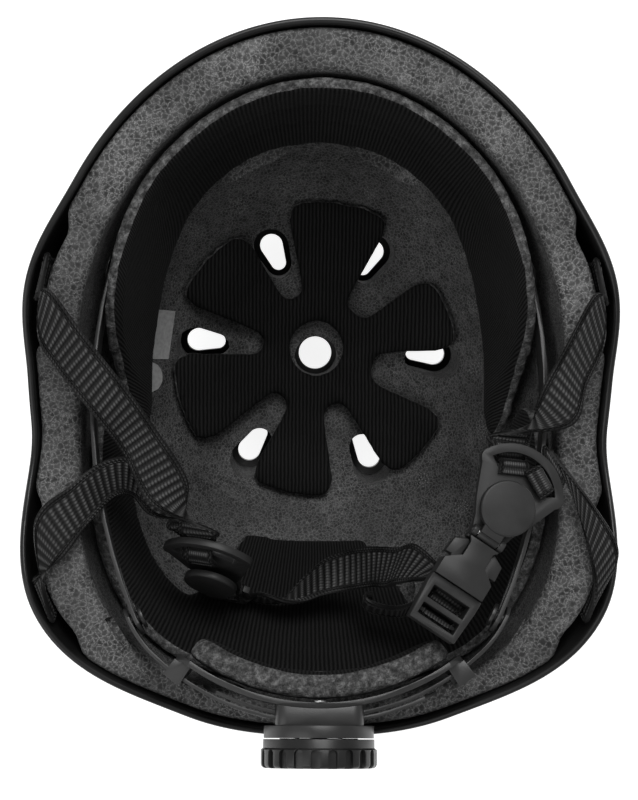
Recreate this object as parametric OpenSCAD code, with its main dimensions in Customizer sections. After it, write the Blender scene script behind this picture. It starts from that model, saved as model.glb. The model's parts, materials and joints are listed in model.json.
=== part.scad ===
// Skate and cycling helmet, lying on its crown with the opening up.
// +X is the wearer's right, -Y the brow, +Y the nape with the fit dial, z = 0 the crown.
// All heights are measured up from the crown, so the rim lies highest.

/* [Shell] */
// Half the shell's width at the ears
shell_half_w = 106; // [100:0.5:112]
// Half the shell's length
shell_half_l = 130; // [124:0.5:136]
// Thickness of the shell's wall
shell_wall = 2.6; // [2:0.1:3.2]
// Height of the rim at the brow
rim_brow = 138; // [134:0.5:142]
// Height of the rim at the temples
rim_temple = 143; // [139:0.5:147]
// Height of the rim in the hollow over the ears
rim_ear = 131; // [127:0.5:134]
// Height of the rim at the corners of the nape
rim_corner = 150; // [146:0.5:154]
// Height of the rim under the dial
rim_nape = 139; // [136:0.5:142]
// How far the temples swell out for the front straps
temple_swell = 3.5; // [2:0.5:5]
// How far the nape's corners swell out for the rear straps
corner_swell = 11.5; // [9:0.5:14]

/* [Foam liner] */
// Foam between the shell and the head at the ears
foam_side = 14; // [12:0.5:16]
// Foam at the brow
foam_brow = 15; // [13:0.5:17]
// Foam at the nape
foam_nape = 12; // [10:0.5:14]
// Foam under the crown
foam_crown = 24; // [20:0.5:27]
// How far the liner's rim lies below the shell's edge
liner_drop = 2; // [1:0.5:4]
// Air between the shell and the liner
shell_gap = 0.6; // [0.4:0.05:0.8]
// Depth of the strap pockets cut into the liner's side
pocket_relief = 4.4; // [4.2:0.1:5]

/* [Vents] */
// Radius of the round vent in the crown
crown_vent_r = 7; // [6:0.25:9]
// Radius of the crown hole in the foam
crown_foam_r = 9; // [8.5:0.25:10.5]
// Distance of the six teardrop vents' wide ends from the crown
vent_ring = 50; // [47:0.5:53]
// Wide end's radius of a teardrop vent
vent_wide_r = 4.8; // [4:0.2:6]
// Narrow end's radius of a teardrop vent
vent_narrow_r = 3.2; // [2.5:0.1:3.8]
// Length between the teardrop's two centres
vent_len = 8; // [6:0.5:10]
// How much wider all round the vents are in the foam
vent_flare = 2.6; // [1:0.2:3.4]
// Width of the brow and nape vents
slot_vent_w = 24; // [16:1:28]
// Height of the brow and nape vents
slot_vent_h = 13; // [9:0.5:14]

/* [Pads] */
// Thickness of the crown pad
crown_pad_t = 6; // [4:0.5:8]
// Radius of the crown pad at its petals' tips
crown_pad_r = 60; // [55:0.5:64]
// Thickness of the brow pad
brow_pad_t = 5; // [4:0.5:6]
// Thickness of the rear pad
rear_pad_t = 6; // [4:0.5:7]
// Thickness of the cradle's pad
cradle_pad_t = 9; // [6:0.5:11]
// Height of the cradle's pad
cradle_pad_h = 23; // [18:0.5:26]
// Room for the hook dots behind a pad
pad_room = 1.5; // [1.4:0.1:1.9]
// Radius of a hook dot
dot_r = 6; // [5:0.5:7]

/* [Fit system] */
// Lean of the dial's axis above the level
tilt = 16.5; // [14:0.5:19]
// Height of the fit band
band_h = 13; // [12:0.5:14]
// Thickness of the racks
rack_t = 1.3; // [1.1:0.1:1.5]
// Thickness of the side arms
arm_t = 1.5; // [1.2:0.1:1.8]
// Module of the rack and pinion teeth
tooth_module = 0.8; // [0.7:0.02:0.84]
// Number of teeth on the pinion
pinion_teeth = 9; // [8:1:9]
// Diameter of the dial
dial_d = 41; // [40:0.5:44]
// Width of the dial's knob
dial_w = 10; // [9:0.5:13]
// Number of grip grooves round the dial
dial_grooves = 21; // [16:1:24]
// Width of the dial's housing
housing_w = 31; // [29:0.5:34]
// Height of the dial's housing
housing_h = 28; // [27:0.5:30]
// Length of rack that shows past the housing
free_end = 27; // [22:0.5:30]
// Diameter of the studs that join the racks to the arms
stud_d = 5; // [4:0.25:6]
// Running clearance round shafts and studs
run_gap = 0.06; // [0.04:0.01:0.09]

/* [Straps] */
// Width of the webbing
web_w = 15.5; // [14:0.25:16]
// Thickness of the webbing
web_t = 1.5; // [1.2:0.1:1.6]
// Diameter of the rivets that hold the straps
rivet_d = 4; // [3:0.25:4.5]

/* [Buckle] */
// Half the width of the buckle's body
buckle_half_w = 9.8; // [9.6:0.1:10.6]
// Thickness of the buckle's body
buckle_t = 8.4; // [8:0.1:9.4]
// Radius of the round locking caps
cap_r = 10; // [9:0.25:10.5]
// Thickness of the locking caps
cap_t = 2.6; // [2:0.1:3.4]
// Thickness of the strap fans
fan_t = 2.6; // [2.2:0.1:3]

/* [Hidden] */
$fn = 64;
cut = 0.02;

// Helpers for smooth steps, swells and arcs
function step01(t) = let (s = min(1, max(0, t))) s * s * (3 - 2 * s);
function ramp(x, from, to) = step01((x - from) / (to - from));
function swell(x, at, half) = abs(x - at) < half ? 0.5 + 0.5 * cos(180 * (x - at) / half) : 0;
function mix(a, b, t) = a + (b - a) * t;
function unit(v) = v / norm(v);
function arc_points(c, r, from, to, n) =
    [for (i = [0:n]) let (a = mix(from, to, i / n)) c + r * [cos(a), sin(a)]];
// Angle of a direction from the nearer ear, with the nape at +90 and the brow at -90
function fold(t) = asin(sin(t));

// Height of the shell's edge at a folded angle
function rim_z(a) =
    a < -20 ? mix(rim_brow, rim_temple, ramp(a, -90, -20)) :
    a < 12 ? mix(rim_temple, rim_ear, ramp(a, -20, 12)) :
    a < 38 ? mix(rim_ear, rim_corner, ramp(a, 12, 38)) :
    mix(rim_corner, rim_nape, ramp(a, 38, 90));
function oval(a, w, l, power) = pow(pow(abs(cos(a)) / w, power) + pow(abs(sin(a)) / l, power), -1 / power);

// The shell's outer surface
equator_z = 150;
function shell_plan(a) = oval(a, shell_half_w, shell_half_l, mix(2, 2.4, ramp(a, -20, 40)));
function dome(u, power, root) = pow(1 - pow(1 - min(1, max(0, u)), power), 1 / root);
swell_depth = 42;
function flare(a, z) =
    (temple_swell * swell(a, -20, 20) + corner_swell * swell(a, 38.5, 30))
    * ramp(z, rim_z(a) - swell_depth, rim_z(a));
function shell_r(a, z, inset) =
    (shell_plan(a) - inset) * dome((z - inset) / (equator_z - inset), 2.1, 2.8) + flare(a, z);

// A point of the shell's outer surface and the direction outwards from it
function shell_at(t, z) = let (r = shell_r(fold(t), z, 0)) [r * cos(t), r * sin(t), z];
function shell_normal(t, z) =
    unit(cross(shell_at(t + 1, z) - shell_at(t - 1, z), shell_at(t, z + 1) - shell_at(t, z - 1)));

// The head's bowl in the liner
bowl_half_w = shell_half_w - shell_wall - shell_gap - foam_side;
bowl_brow_l = shell_half_l - shell_wall - shell_gap - foam_brow;
bowl_nape_l = shell_half_l - shell_wall - shell_gap - foam_nape;
bowl_z = shell_wall + shell_gap + foam_crown;
bowl_h = equator_z - bowl_z;
function bowl_plan(a) =
    oval(a, bowl_half_w, mix(bowl_brow_l, bowl_nape_l, ramp(a, -30, 30)), mix(2, 3, ramp(a, -20, 40)));
bowl_root = 2.1;
function bowl_r(a, z) = bowl_plan(a) * dome((z - bowl_z) / bowl_h, 2, bowl_root);
function bowl_height(a, r) = bowl_z + bowl_h * (1 - sqrt(1 - pow(min(1, r / bowl_plan(a)), bowl_root)));
function liner_top(a) = rim_z(a) - liner_drop;
// A point of the bowl's wall and the direction from it to the head
function wall_at(t, z) = let (r = bowl_r(fold(t), z)) [r * cos(t), r * sin(t), z];
function wall_normal(t, z) = unit(cross(wall_at(t, z + 1) - wall_at(t, z - 1), wall_at(t + 1, z) - wall_at(t - 1, z)));
function floor_at(t, r) = [r * cos(t), r * sin(t), bowl_height(fold(t), r)];
function floor_normal(t, r) =
    unit(cross(floor_at(t, r + 1) - floor_at(t, r - 1), floor_at(t + 90 / r, r) - floor_at(t - 90 / r, r)));

// Strap pockets between shell and liner, one at each temple and corner
function pocket(a) = ramp(a, -35, -30) * (1 - ramp(a, -10, -5)) + ramp(a, 20, 25) * (1 - ramp(a, 45, 50));
function liner_outer_r(a, z) =
    let (clear = shell_wall + shell_gap)
    shell_r(a, z, clear) - pocket(a) * pocket_relief * ramp(z, rim_z(a) - swell_depth, rim_z(a) - 18);

// A closed slab between two grids of points. Each grid is a list of columns.
module slab(top, bottom, ring) {
    cols = len(top);
    rows = len(top[0]);
    size = cols * rows;
    last = ring ? cols - 1 : cols - 2;
    function at(side, i, j) = side * size + (i % cols) * rows + j;
    sides = [for (i = [0:last], j = [0:rows - 2]) each [
        [at(0, i, j), at(0, i + 1, j), at(0, i + 1, j + 1)],
        [at(0, i, j), at(0, i + 1, j + 1), at(0, i, j + 1)],
        [at(1, i, j), at(1, i + 1, j + 1), at(1, i + 1, j)],
        [at(1, i, j), at(1, i, j + 1), at(1, i + 1, j + 1)]]];
    edges = [for (i = [0:last]) each [
        [at(0, i, 0), at(1, i + 1, 0), at(0, i + 1, 0)],
        [at(0, i, 0), at(1, i, 0), at(1, i + 1, 0)],
        [at(0, i, rows - 1), at(0, i + 1, rows - 1), at(1, i + 1, rows - 1)],
        [at(0, i, rows - 1), at(1, i + 1, rows - 1), at(1, i, rows - 1)]]];
    ends = ring ? [] : [for (j = [0:rows - 2]) each [
        [at(0, 0, j), at(1, 0, j + 1), at(1, 0, j)],
        [at(0, 0, j), at(0, 0, j + 1), at(1, 0, j + 1)],
        [at(0, cols - 1, j), at(1, cols - 1, j), at(1, cols - 1, j + 1)],
        [at(0, cols - 1, j), at(1, cols - 1, j + 1), at(0, cols - 1, j + 1)]]];
    polyhedron(points = [for (col = top) each col, for (col = bottom) each col],
               faces = concat(sides, edges, ends));
}

// A ribbon of webbing: each stop is [centre, half the width as a vector]
function spline(a, b, c, d, t) =
    0.5 * (2 * b + (c - a) * t + (2 * a - 5 * b + 4 * c - d) * t * t + (3 * b - a - 3 * c + d) * t * t * t);
function smooth(stops, parts) = let (n = len(stops) - 1)
    [for (i = [0:n - 1], k = [0:parts - 1])
        [for (m = [0, 1]) spline(stops[max(i - 1, 0)][m], stops[i][m], stops[i + 1][m],
                                 stops[min(i + 2, n)][m], k / parts)],
     stops[n]];
module ribbon(stops, parts = 3) {
    path = smooth(stops, parts);
    n = len(path) - 1;
    function face_dir(i) =
        unit(cross(path[i][1], path[min(i + 1, n)][0] - path[max(i - 1, 0)][0]));
    half = [for (i = [0:n]) face_dir(i) * web_t / 2];
    slab([for (i = [0:n]) [path[i][0] - path[i][1] + half[i], path[i][0] + path[i][1] + half[i]]],
         [for (i = [0:n]) [path[i][0] - path[i][1] - half[i], path[i][0] + path[i][1] - half[i]]], false);
}

// The helmet's own centre lies this far in front of the whole part's middle
dial_reach = shell_half_l - 5.9 + (dial_w + 0.5) * cos(tilt) + dial_d / 2 * sin(tilt);
centre_y = -(dial_reach - shell_half_l) / 2;
module helmet() { translate([0, centre_y, 0]) children(); }

// Frame of the fit band. Its origin is the racks' centre, +Y the dial's axis, +Z across the band.
rack_r = bowl_half_w - 4.45;
rack_step = rack_t + 0.7;
dial_v = rack_r + 7.95;
dial_y = shell_half_l - 5.9;
dial_z = rim_nape + 22;
band_y = dial_y - dial_v * cos(tilt);
band_z = dial_z - dial_v * sin(tilt);
module fit_band() { helmet() translate([0, band_y, band_z]) rotate([tilt, 0, 0]) children(); }
module along_dial(v) { translate([0, v, 0]) rotate([-90, 0, 0]) children(); }
// A curved strip whose angles run from +Y towards +X
module strip(r_in, r_out, h, from, to) {
    rotate([0, 0, 90 - to]) rotate_extrude(angle = to - from, $fn = 96)
        translate([r_in, -h / 2]) square([r_out - r_in, h]);
}
function toward(b) = [sin(b), cos(b)];
// Points of an arc about c, at angles from +Y towards +X
function bow(c, r, from, to, step = 3) = let (n = max(1, ceil(abs(to - from) / step)))
    [for (i = [0:n]) c + r * toward(mix(from, to, i / n))];
function reverse(points) = [for (i = [len(points) - 1:-1:0]) points[i]];
// An upright plank between two such lines
module plank(h, out, inn) { linear_extrude(h, center = true) polygon(concat(out, reverse(inn))); }
module bowed_plank(h, r_in, r_out, from, to) {
    plank(h, bow([0, 0], r_out, from, to), bow([0, 0], r_in, from, to));
}

// The racks bend in at their arm end, and each arm is two arcs from the stud to the temple
turn_at = 43;
turn_r = 40;
stud_at = 64;
rack_past = 7;
// How far the cradle moves back when the dial is let out half a turn
let_out = 7.9;
arm_gap = 0.9;
// A longer helmet has flatter arms, so that they bow out no further
arm_bend_r = 200 * pow(shell_half_l / 130, 2);
temple_y = -40;
temple_gap = 1.2;
temple_v = (temple_y - band_y) / cos(tilt);
temple_z = band_z + temple_v * sin(tilt);
function wall_x(y, z, x) = let (r = bowl_r(atan2(y, x), z)) sqrt(r * r - y * y);
temple_x = let (x1 = wall_x(temple_y, temple_z, bowl_half_w), x2 = wall_x(temple_y, temple_z, x1))
    wall_x(temple_y, temple_z, x2) - temple_gap - arm_t / 2;
function layer_r(side) = side < 0 ? rack_r : rack_r + rack_step;
function turn_c(side) = (layer_r(side) - turn_r) * toward(turn_at);
arm_turn_r = turn_r - rack_t / 2 - arm_gap - arm_t / 2;
// Centre of the arm's long arc, which touches the short one and meets the temple
function arm_c(side) =
    let (c = turn_c(side), near = arm_bend_r - arm_turn_r, far = arm_bend_r,
         d = [temple_x, temple_v] - c, gap = norm(d),
         along = (near * near - far * far + gap * gap) / (2 * gap),
         off = sqrt(near * near - along * along), e = d / gap)
    c + along * e + off * [e[1], -e[0]];
function arm_turn_at(side) = let (d = turn_c(side) - arm_c(side)) atan2(d[0], d[1]);
function arm_end_at(side) = let (d = [temple_x, temple_v] - arm_c(side)) atan2(d[0], d[1]);

// The dial's rack and pinion. A stub tooth on the racks keeps nine teeth free of undercut.
pitch_r = tooth_module * pinion_teeth / 2;
tooth_pitch = PI * tooth_module;
pressure = 20;
pinion_tip_r = pitch_r + tooth_module;
pinion_root_r = pitch_r - 0.8 * tooth_module;
rack_tip = pitch_r * pow(sin(pressure), 2);
rack_root = pitch_r + 1.3 * tooth_module;
window_far = pinion_tip_r + 0.5;
backlash = 0.1;
tip_at = (housing_w / 2 + free_end) / rack_r * 180 / PI;
window_from = -(housing_w / 2 + free_end - 8);
window_to = 12;

// Stations along the dial's axis, from the racks' centre outwards
frame_t = 2;
frame_in = rack_r - rack_t / 2 - 4;
frame_out = frame_in + frame_t;
channel_in = rack_r - rack_t / 2 - 0.5;
channel_out = rack_r + rack_step + rack_t / 2 + 0.6;
cover_v = rack_r + rack_step + rack_t / 2 + 0.55;
knob_v = dial_v;
cover_t = knob_v - 0.4 - cover_v;
journal_r = pinion_tip_r + 0.1;
socket_half = 3;
screw_z = housing_h / 2 - 3.5;
screw_r = 1.25;

// Places of the rivets: [direction, depth below the rim]
rivet_spots = [[-20, 15], [200, 15], [37, 16], [143, 16]];
function rivet_z(spot) = rim_z(fold(spot[0])) - spot[1];
// The frame of a rivet on the helmet: +Z runs outwards through the shell
module rivet_frame(spot) {
    n = shell_normal(spot[0], rivet_z(spot));
    translate(shell_at(spot[0], rivet_z(spot))) rotate([0, acos(n[2]), atan2(n[1], n[0])]) children();
}
module at_rivets() {
    for (spot = rivet_spots) helmet() rivet_frame(spot) children();
}
// Air between the shell and a strap's middle, which the shell's curve leaves
strap_off = 2.2;

// Teardrop outline with its wide end at the origin
function teardrop(wide, narrow, length) =
    let (a = acos((wide - narrow) / length))
    concat(arc_points([0, 0], wide, a, 360 - a, 20), arc_points([length, 0], narrow, -a, a, 12));
// The six teardrops stand in mirrored pairs, turned a little round the crown as in the photograph
vent_turn = -3;
vent_spots = [-64.5, -4, 59, 121, 184, 244.5];
module vents(grow) {
    for (t = vent_spots)
        translate([0, 0, -1]) rotate([0, 0, t + vent_turn]) translate([vent_ring, 0, 0])
            rotate([0, 0, 180]) linear_extrude(bowl_z + 45)
                polygon(teardrop(vent_wide_r + grow, vent_narrow_r + grow * 0.9, vent_len));
    for (way = [-1, 1], side = [-1, 1])
        translate([side * 25, way > 0 ? 62 : -62, 76]) rotate([-90 * way, 0, 0])
            linear_extrude(90) union() {
                square([slot_vent_w - slot_vent_h, slot_vent_h + 2 * grow], center = true);
                for (end = [-1, 1])
                    translate([end * (slot_vent_w - slot_vent_h) / 2, 0])
                        circle(r = slot_vent_h / 2 + grow, $fn = 24);
            }
}

columns = 72;
function column_t(i) = i * 360 / columns;
// Heights of the rows from the crown to the rim, closer together near the crown
function row_z(low, high, j, rows) = low + (high - low) * (1 - cos(90 * pow(j / rows, 1.2)));

module outer_shell() {
    rows = 12;
    first = 0.25;
    function column(t, inset) = let (a = fold(t))
        [for (j = [first, each [1:rows]])
            let (z = row_z(inset, rim_z(a), j, rows), r = shell_r(a, z, inset)) [r * cos(t), r * sin(t), z]];
    color("#17181a") {
        difference() {
            helmet() slab([for (i = [0:columns - 1]) column(column_t(i), shell_wall)],
                          [for (i = [0:columns - 1]) column(column_t(i), 0)], true);
            helmet() translate([0, 0, -5]) cylinder(r = crown_vent_r, h = 20);
            helmet() vents(0);
            at_rivets() translate([0, 0, -8]) cylinder(d = rivet_d + 0.2, h = 16, $fn = 32);
        }
    }
}

module foam_liner() {
    rows = 12;
    first = 0.25;
    clear = shell_wall + shell_gap;
    function column_out(t) = let (a = fold(t))
        [for (j = [first, each [1:rows]])
            let (z = row_z(clear, liner_top(a), j, rows), r = liner_outer_r(a, z)) [r * cos(t), r * sin(t), z]];
    function column_in(t) = let (a = fold(t))
        [for (j = [first, each [1:rows]])
            let (z = row_z(bowl_z, liner_top(a), j, rows), r = bowl_r(a, z)) [r * cos(t), r * sin(t), z]];
    color("#3a3b3d") difference() {
        helmet() slab([for (i = [0:columns - 1]) column_in(column_t(i))],
                      [for (i = [0:columns - 1]) column_out(column_t(i))], true);
        helmet() translate([0, 0, -5]) cylinder(r = crown_foam_r, h = 50);
        helmet() vents(vent_flare);
        for (side = [-1, 1]) at_temple(side) {
            translate([0, 0, -temple_gap - arm_t / 2]) cylinder(r = 9, h = temple_gap + arm_t + 1.1, $fn = 32);
            cylinder(r = socket_r + 0.15, h = arm_t / 2 + 0.5 + socket_l + 0.3, $fn = 32);
        }
        // Room at the corners of the rim for the racks when the dial lets them out
        for (side = [-1, 1]) fit_band() scale([side, 1, 1]) translate([0, let_out, 0])
            bowed_plank(band_h + 1.6, layer_r(side) - 4, layer_r(side) + 1.6, 25, 62);
    }
}

// The frame of an anchor at the temple: +Z runs outwards through the arm
module at_temple(side) {
    fit_band() scale([side, 1, 1]) translate([temple_x, temple_v, 0])
        rotate([0, 90, 90 - arm_end_at(side)]) children();
}
socket_r = 4;
socket_l = 10;
plug_r = 2.4;
plug_head_t = 1.2;
module anchor_sockets() {
    color("#202124") for (side = [-1, 1]) at_temple(side) translate([0, 0, arm_t / 2 + 0.35])
        difference() {
            union() {
                cylinder(r = 6.5, h = 0.6, $fn = 32);
                cylinder(r = socket_r, h = socket_l, $fn = 32);
            }
            translate([0, 0, -1]) cylinder(r = plug_r + run_gap, h = socket_l, $fn = 32);
        }
}
module temple_plugs() {
    color("#0f1011") for (side = [-1, 1]) at_temple(side) {
        translate([0, 0, -arm_t / 2 - 0.35 - plug_head_t]) cylinder(r = 5, h = plug_head_t, $fn = 32);
        translate([0, 0, -arm_t / 2 - 0.5]) cylinder(r = plug_r, h = arm_t + 7.5, $fn = 32);
    }
}

// Outline of the crown pad: six petals cut apart by slots, as [direction, radius]
slot_angles = [-69, -14, 48, 110.5, 172.5, 230.5];
slot_halves = [9, 10, 12, 12.5, 13.5, 12];
slot_inner = [28, 24, 22, 21, 25, 26];
petal_tip = [63, 60, 57.5, 58.5, 59, 67];
function petal_columns(k) =
    let (m = (k + 1) % 6, from = slot_angles[k], to = slot_angles[m] + (k < 5 ? 0 : 360),
         h1 = slot_halves[k], h2 = slot_halves[m], r1 = slot_inner[k], r2 = slot_inner[m],
         tip = petal_tip[k] * crown_pad_r / 60)
    concat([[from, r1], [from + h1 * 0.7, r1 + 0.7], [from + h1 - 0.5, r1 + 4], [from + h1, r1 + 10],
            [from + h1, tip - 6], [from + h1 + 2, tip - 1.5]],
           [for (i = [0:4]) [mix(from + h1 + 5, to - h2 - 5, i / 4), tip]],
           [[to - h2 - 2, tip - 1.5], [to - h2, tip - 6], [to - h2, r2 + 10],
            [to - h2 + 0.5, r2 + 4], [to - h2 * 0.7, r2 + 0.7]]);
// The pad's round hole sits in front of the crown vent's middle
hole_r = crown_foam_r + 2.6;
hole_ahead = 4.5;
function hole_edge(t) = -hole_ahead * sin(t) + sqrt(hole_r * hole_r - pow(hole_ahead * cos(t), 2));
module crown_pad() {
    outline = [for (k = [0:5]) each petal_columns(k)];
    rows = [0, 0.04, 0.3, 0.6, 0.9, 1];
    lift = [0.6, 0.92, 1, 1, 0.92, 0.6];
    function spot(k, j, up) = let (t = outline[k][0], r = mix(hole_edge(t), outline[k][1], rows[j]))
        floor_at(t, r) + floor_normal(t, r) * (pad_room + up * crown_pad_t * lift[j]);
    color("#101113") helmet() slab(
        [for (k = [0:len(outline) - 1]) [for (j = [0:5]) spot(k, j, 1)]],
        [for (k = [0:len(outline) - 1]) [for (j = [0:5]) spot(k, j, 0)]], true);
}

// A pad along the bowl's wall between two heights, given per column as [direction, low, top, room]
module wall_pad(stations, thick) {
    rows = [0, 0.08, 0.36, 0.64, 0.92, 1];
    lift = [0.7, 0.97, 1.05, 1.05, 0.97, 0.85];
    function spot(s, j, up) = let (z = mix(s[1], s[2], rows[j]))
        wall_at(s[0], z) + wall_normal(s[0], z) * (s[3] + up * thick * lift[j]);
    slab([for (s = stations) [for (j = [0:5]) spot(s, j, 1)]],
         [for (s = stations) [for (j = [0:5]) spot(s, j, 0)]], false);
}
// Half the height that a rounded end leaves, from 1 down to a blunt tip
function round_end(left, r) = left > r ? 1 : max(0.25, sqrt(1 - pow(1 - max(0, left) / r, 2)));

brow_span = 108;
pad_end_r = 9;
arm_room = 6.4;
function brow_station(b) = let (d = abs(b),
        top = rim_brow - mix(4, 44, ramp(d, brow_span - 48, brow_span - 2)),
        low = rim_brow - 60,
        mid = (top + low) / 2,
        half = (top - low) / 2 * round_end(brow_span - d, pad_end_r))
    [b - 90, mid - half, mid + half, mix(pad_room, arm_room, ramp(d, 36, 74))];
module brow_pad() {
    n = 44;
    color("#121315") helmet()
        wall_pad([for (i = [0:n]) brow_station(mix(-brow_span, brow_span, i / n))], brow_pad_t);
}

rear_span = 82;
tab_at = 3;
tab_half = 26;
function rear_station(b) = let (d = abs(b), a = 90 - d,
        top = min(liner_top(a) - 6, rim_nape - mix(21, 8, ramp(a, 10, 36))),
        low = rim_nape - mix(46, 84, ramp(tab_half - abs(b + tab_at), 0, 7)),
        mid = (top + low) / 2,
        half = (top - low) / 2 * round_end(rear_span - d, pad_end_r))
    [b + 90, mid - half, mid + half, pad_room];
module rear_pad() {
    n = 44;
    color("#121315") helmet()
        wall_pad([for (i = [0:n]) rear_station(mix(-rear_span, rear_span, i / n))], rear_pad_t);
}

dot_t = 0.5;
dot_lift = 0.7;
crown_dots = [for (k = [0:5]) [(slot_angles[k] + slot_angles[(k + 1) % 6] + (k < 5 ? 0 : 360)) / 2, 42]];
wall_dots = [for (t = [-90, -122, -58]) [t, rim_brow - 30],
             for (t = [50, 130]) [t, rim_nape - 28],
             [87, rim_nape - 60]];
module dot_on(place, normal) {
    translate(place + normal * dot_lift) rotate([0, acos(normal[2]), atan2(normal[1], normal[0])])
        cylinder(r = dot_r, h = dot_t, $fn = 32);
}
module pad_hook_dots() {
    color("#2b2c2e") helmet() {
        for (d = crown_dots) dot_on(floor_at(d[0], d[1]), floor_normal(d[0], d[1]));
        for (d = wall_dots) dot_on(wall_at(d[0], d[1]), wall_normal(d[0], d[1]));
    }
}

// A side arm, drawn on the wearer's right
eye_r = plug_r + 0.35;
module arm(side) {
    c = turn_c(side);
    start = stud_at - 9;
    bend = arm_turn_at(side);
    far = arm_end_at(side) + 7.5 / arm_bend_r * 180 / PI;
    slot_h = stud_d + 2 * run_gap + 0.5;
    slot_to = bend + 18 / arm_bend_r * 180 / PI;
    function line(off, from, to) = concat(bow(c, arm_turn_r + off, from, bend),
        [for (i = [1:12]) arm_c(side) + (arm_bend_r + off) * toward(mix(bend, to, i / 12))]);
    fit_band() scale([side, 1, 1]) difference() {
        plank(band_h, line(arm_t / 2, start, far), line(-arm_t / 2, start, far));
        plank(slot_h, line(arm_t, stud_at - 1, slot_to), line(-arm_t, stud_at - 1, slot_to));
        translate(c) rotate([0, 0, 1 - stud_at]) translate([0, arm_turn_r, 0]) rotate([90, 0, 0])
            cylinder(d = slot_h + 0.6, h = 6, center = true, $fn = 32);
        translate([temple_x, temple_v, 0]) rotate([0, 90, 90 - arm_end_at(side)])
            cylinder(r = eye_r, h = 6, center = true, $fn = 32);
        for (corner = [-1, 1]) {
            translate(c) rotate([0, 0, -start]) translate([0, arm_turn_r, corner * band_h / 2])
                rotate([0, 45, 0]) cube([5, 6, 5], center = true);
            translate(arm_c(side)) rotate([0, 0, -far])
                translate([0, arm_bend_r, corner * band_h / 2]) rotate([0, 45, 0])
                    cube([6, 6, 6], center = true);
        }
    }
}
module arm_left() { color("#1c1d1f") arm(-1); }
module arm_right() { color("#1c1d1f") arm(1); }

// A rack with its teeth on the upper edge of its window, or on the lower one for up = -1
module rack(side, up) {
    r = layer_r(side);
    c = turn_c(side);
    far = stud_at + rack_past;
    mm = 180 / PI / r;
    phase = up > 0 ? 0.5 : 0;
    first = ceil((window_from + 2) / tooth_pitch);
    last = floor((window_to - 1) / tooth_pitch) - 1;
    half = tooth_pitch / 4 - backlash / 2;
    slope = tan(pressure);
    sunk = rack_root + 0.4;
    head_v = arm_turn_r - arm_t / 2 - 0.9;
    function line(off) =
        concat(bow([0, 0], r + off, -tip_at, turn_at), bow(c, turn_r + off, turn_at + 3, far));
    fit_band() scale([side, 1, 1]) {
        difference() {
            plank(band_h, line(rack_t / 2), line(-rack_t / 2));
            difference() {
                bowed_plank(2 * window_far, r - rack_t, r + rack_t, window_from * mm, window_to * mm);
                translate([-r, 0, up > 0 ? rack_root : -rack_root - 10]) cube([2 * r, 2 * r, 10]);
            }
            for (corner = [-1, 1]) {
                rotate([0, 0, tip_at]) translate([0, r, corner * band_h / 2])
                    rotate([0, 45, 0]) cube([7, 6, 7], center = true);
                translate(c) rotate([0, 0, -far]) translate([0, turn_r, corner * band_h / 2])
                    rotate([0, 45, 0]) cube([5, 6, 5], center = true);
            }
        }
        for (k = [first:last])
            rotate([0, 0, -(k + phase) * tooth_pitch * mm]) translate([0, r, 0]) rotate([90, 0, 0])
                linear_extrude(rack_t - 0.1, center = true) polygon([
                    [-half - (sunk - pitch_r) * slope, up * sunk],
                    [half + (sunk - pitch_r) * slope, up * sunk],
                    [half - rack_tip * slope, up * (pitch_r - rack_tip)],
                    [-half + rack_tip * slope, up * (pitch_r - rack_tip)]]);
        translate(c) rotate([0, 0, -stud_at]) {
            translate([0, turn_r, 0]) rotate([90, 0, 0])
                cylinder(d = stud_d, h = turn_r - head_v + 0.5, $fn = 32);
            translate([0, head_v, 0]) rotate([90, 0, 0]) cylinder(d = stud_d + 3.5, h = 1.2, $fn = 32);
        }
    }
}
module rack_left() { color("#1c1d1f") rack(-1, -1); }
module rack_right() { color("#1c1d1f") rack(1, 1); }

// The cradle: a strip inside the band with a guide for the racks near each end
guide_at = 36;
frame_h = 24;
module cradle_frame() {
    half = guide_at + 2.2;
    color("#18191b") fit_band() difference() {
        union() {
            bowed_plank(frame_h, frame_in, frame_out, -half, half);
            for (side = [-1, 1])
                bowed_plank(band_h + 5, frame_out - 1, channel_out + 1.4,
                            side * guide_at - 2.2, side * guide_at + 2.2);
        }
        for (side = [-1, 1]) {
            bowed_plank(band_h + 1, channel_in, channel_out, side * guide_at - 4,
                        side * guide_at + 4);
            for (end = [-1, 1])
                rotate([0, 0, side * half]) translate([0, frame_in, end * frame_h / 2])
                    rotate([0, 45, 0]) cube([7, 5, 7], center = true);
            translate([0, 0, side * screw_z]) along_dial(frame_in - 2) cylinder(r = screw_r + 0.1, h = 8, $fn = 32);
        }
        for (b = [-24, -13, 13, 24])
            rotate([0, 0, b]) translate([0, frame_out, 0]) rotate([90, 0, 0])
                cylinder(r = 3.5, h = 8, center = true, $fn = 32);
    }
}
module cradle_hook_dots() {
    color("#2b2c2e") fit_band() for (b = [-24, 24])
        rotate([0, 0, b]) translate([0, frame_in - 0.5, 0]) rotate([90, 0, 0])
            cylinder(r = dot_r, h = dot_t, $fn = 32);
}
module cradle_pad() {
    span = 36.5;
    n = 24;
    back = frame_in - pad_room - 0.2;
    low = -cradle_pad_h + 9.5;
    rows = [0, 0.1, 0.36, 0.64, 0.9, 1];
    lift = [0.72, 0.96, 1, 1, 0.98, 0.9];
    function spot(b, j, up) = let (e = round_end(span - abs(b), 3), mid = low + cradle_pad_h / 2,
            r = back - up * cradle_pad_t * lift[j] * mix(0.75, 1, e))
        [r * sin(b), r * cos(b), mid + (rows[j] - 0.5) * cradle_pad_h * mix(0.9, 1, e)];
    color("#2f3032") fit_band() slab(
        [for (i = [0:n]) [for (j = [0:5]) spot(mix(span, -span, i / n), j, 1)]],
        [for (i = [0:n]) [for (j = [0:5]) spot(mix(span, -span, i / n), j, 0)]], false);
}

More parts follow.
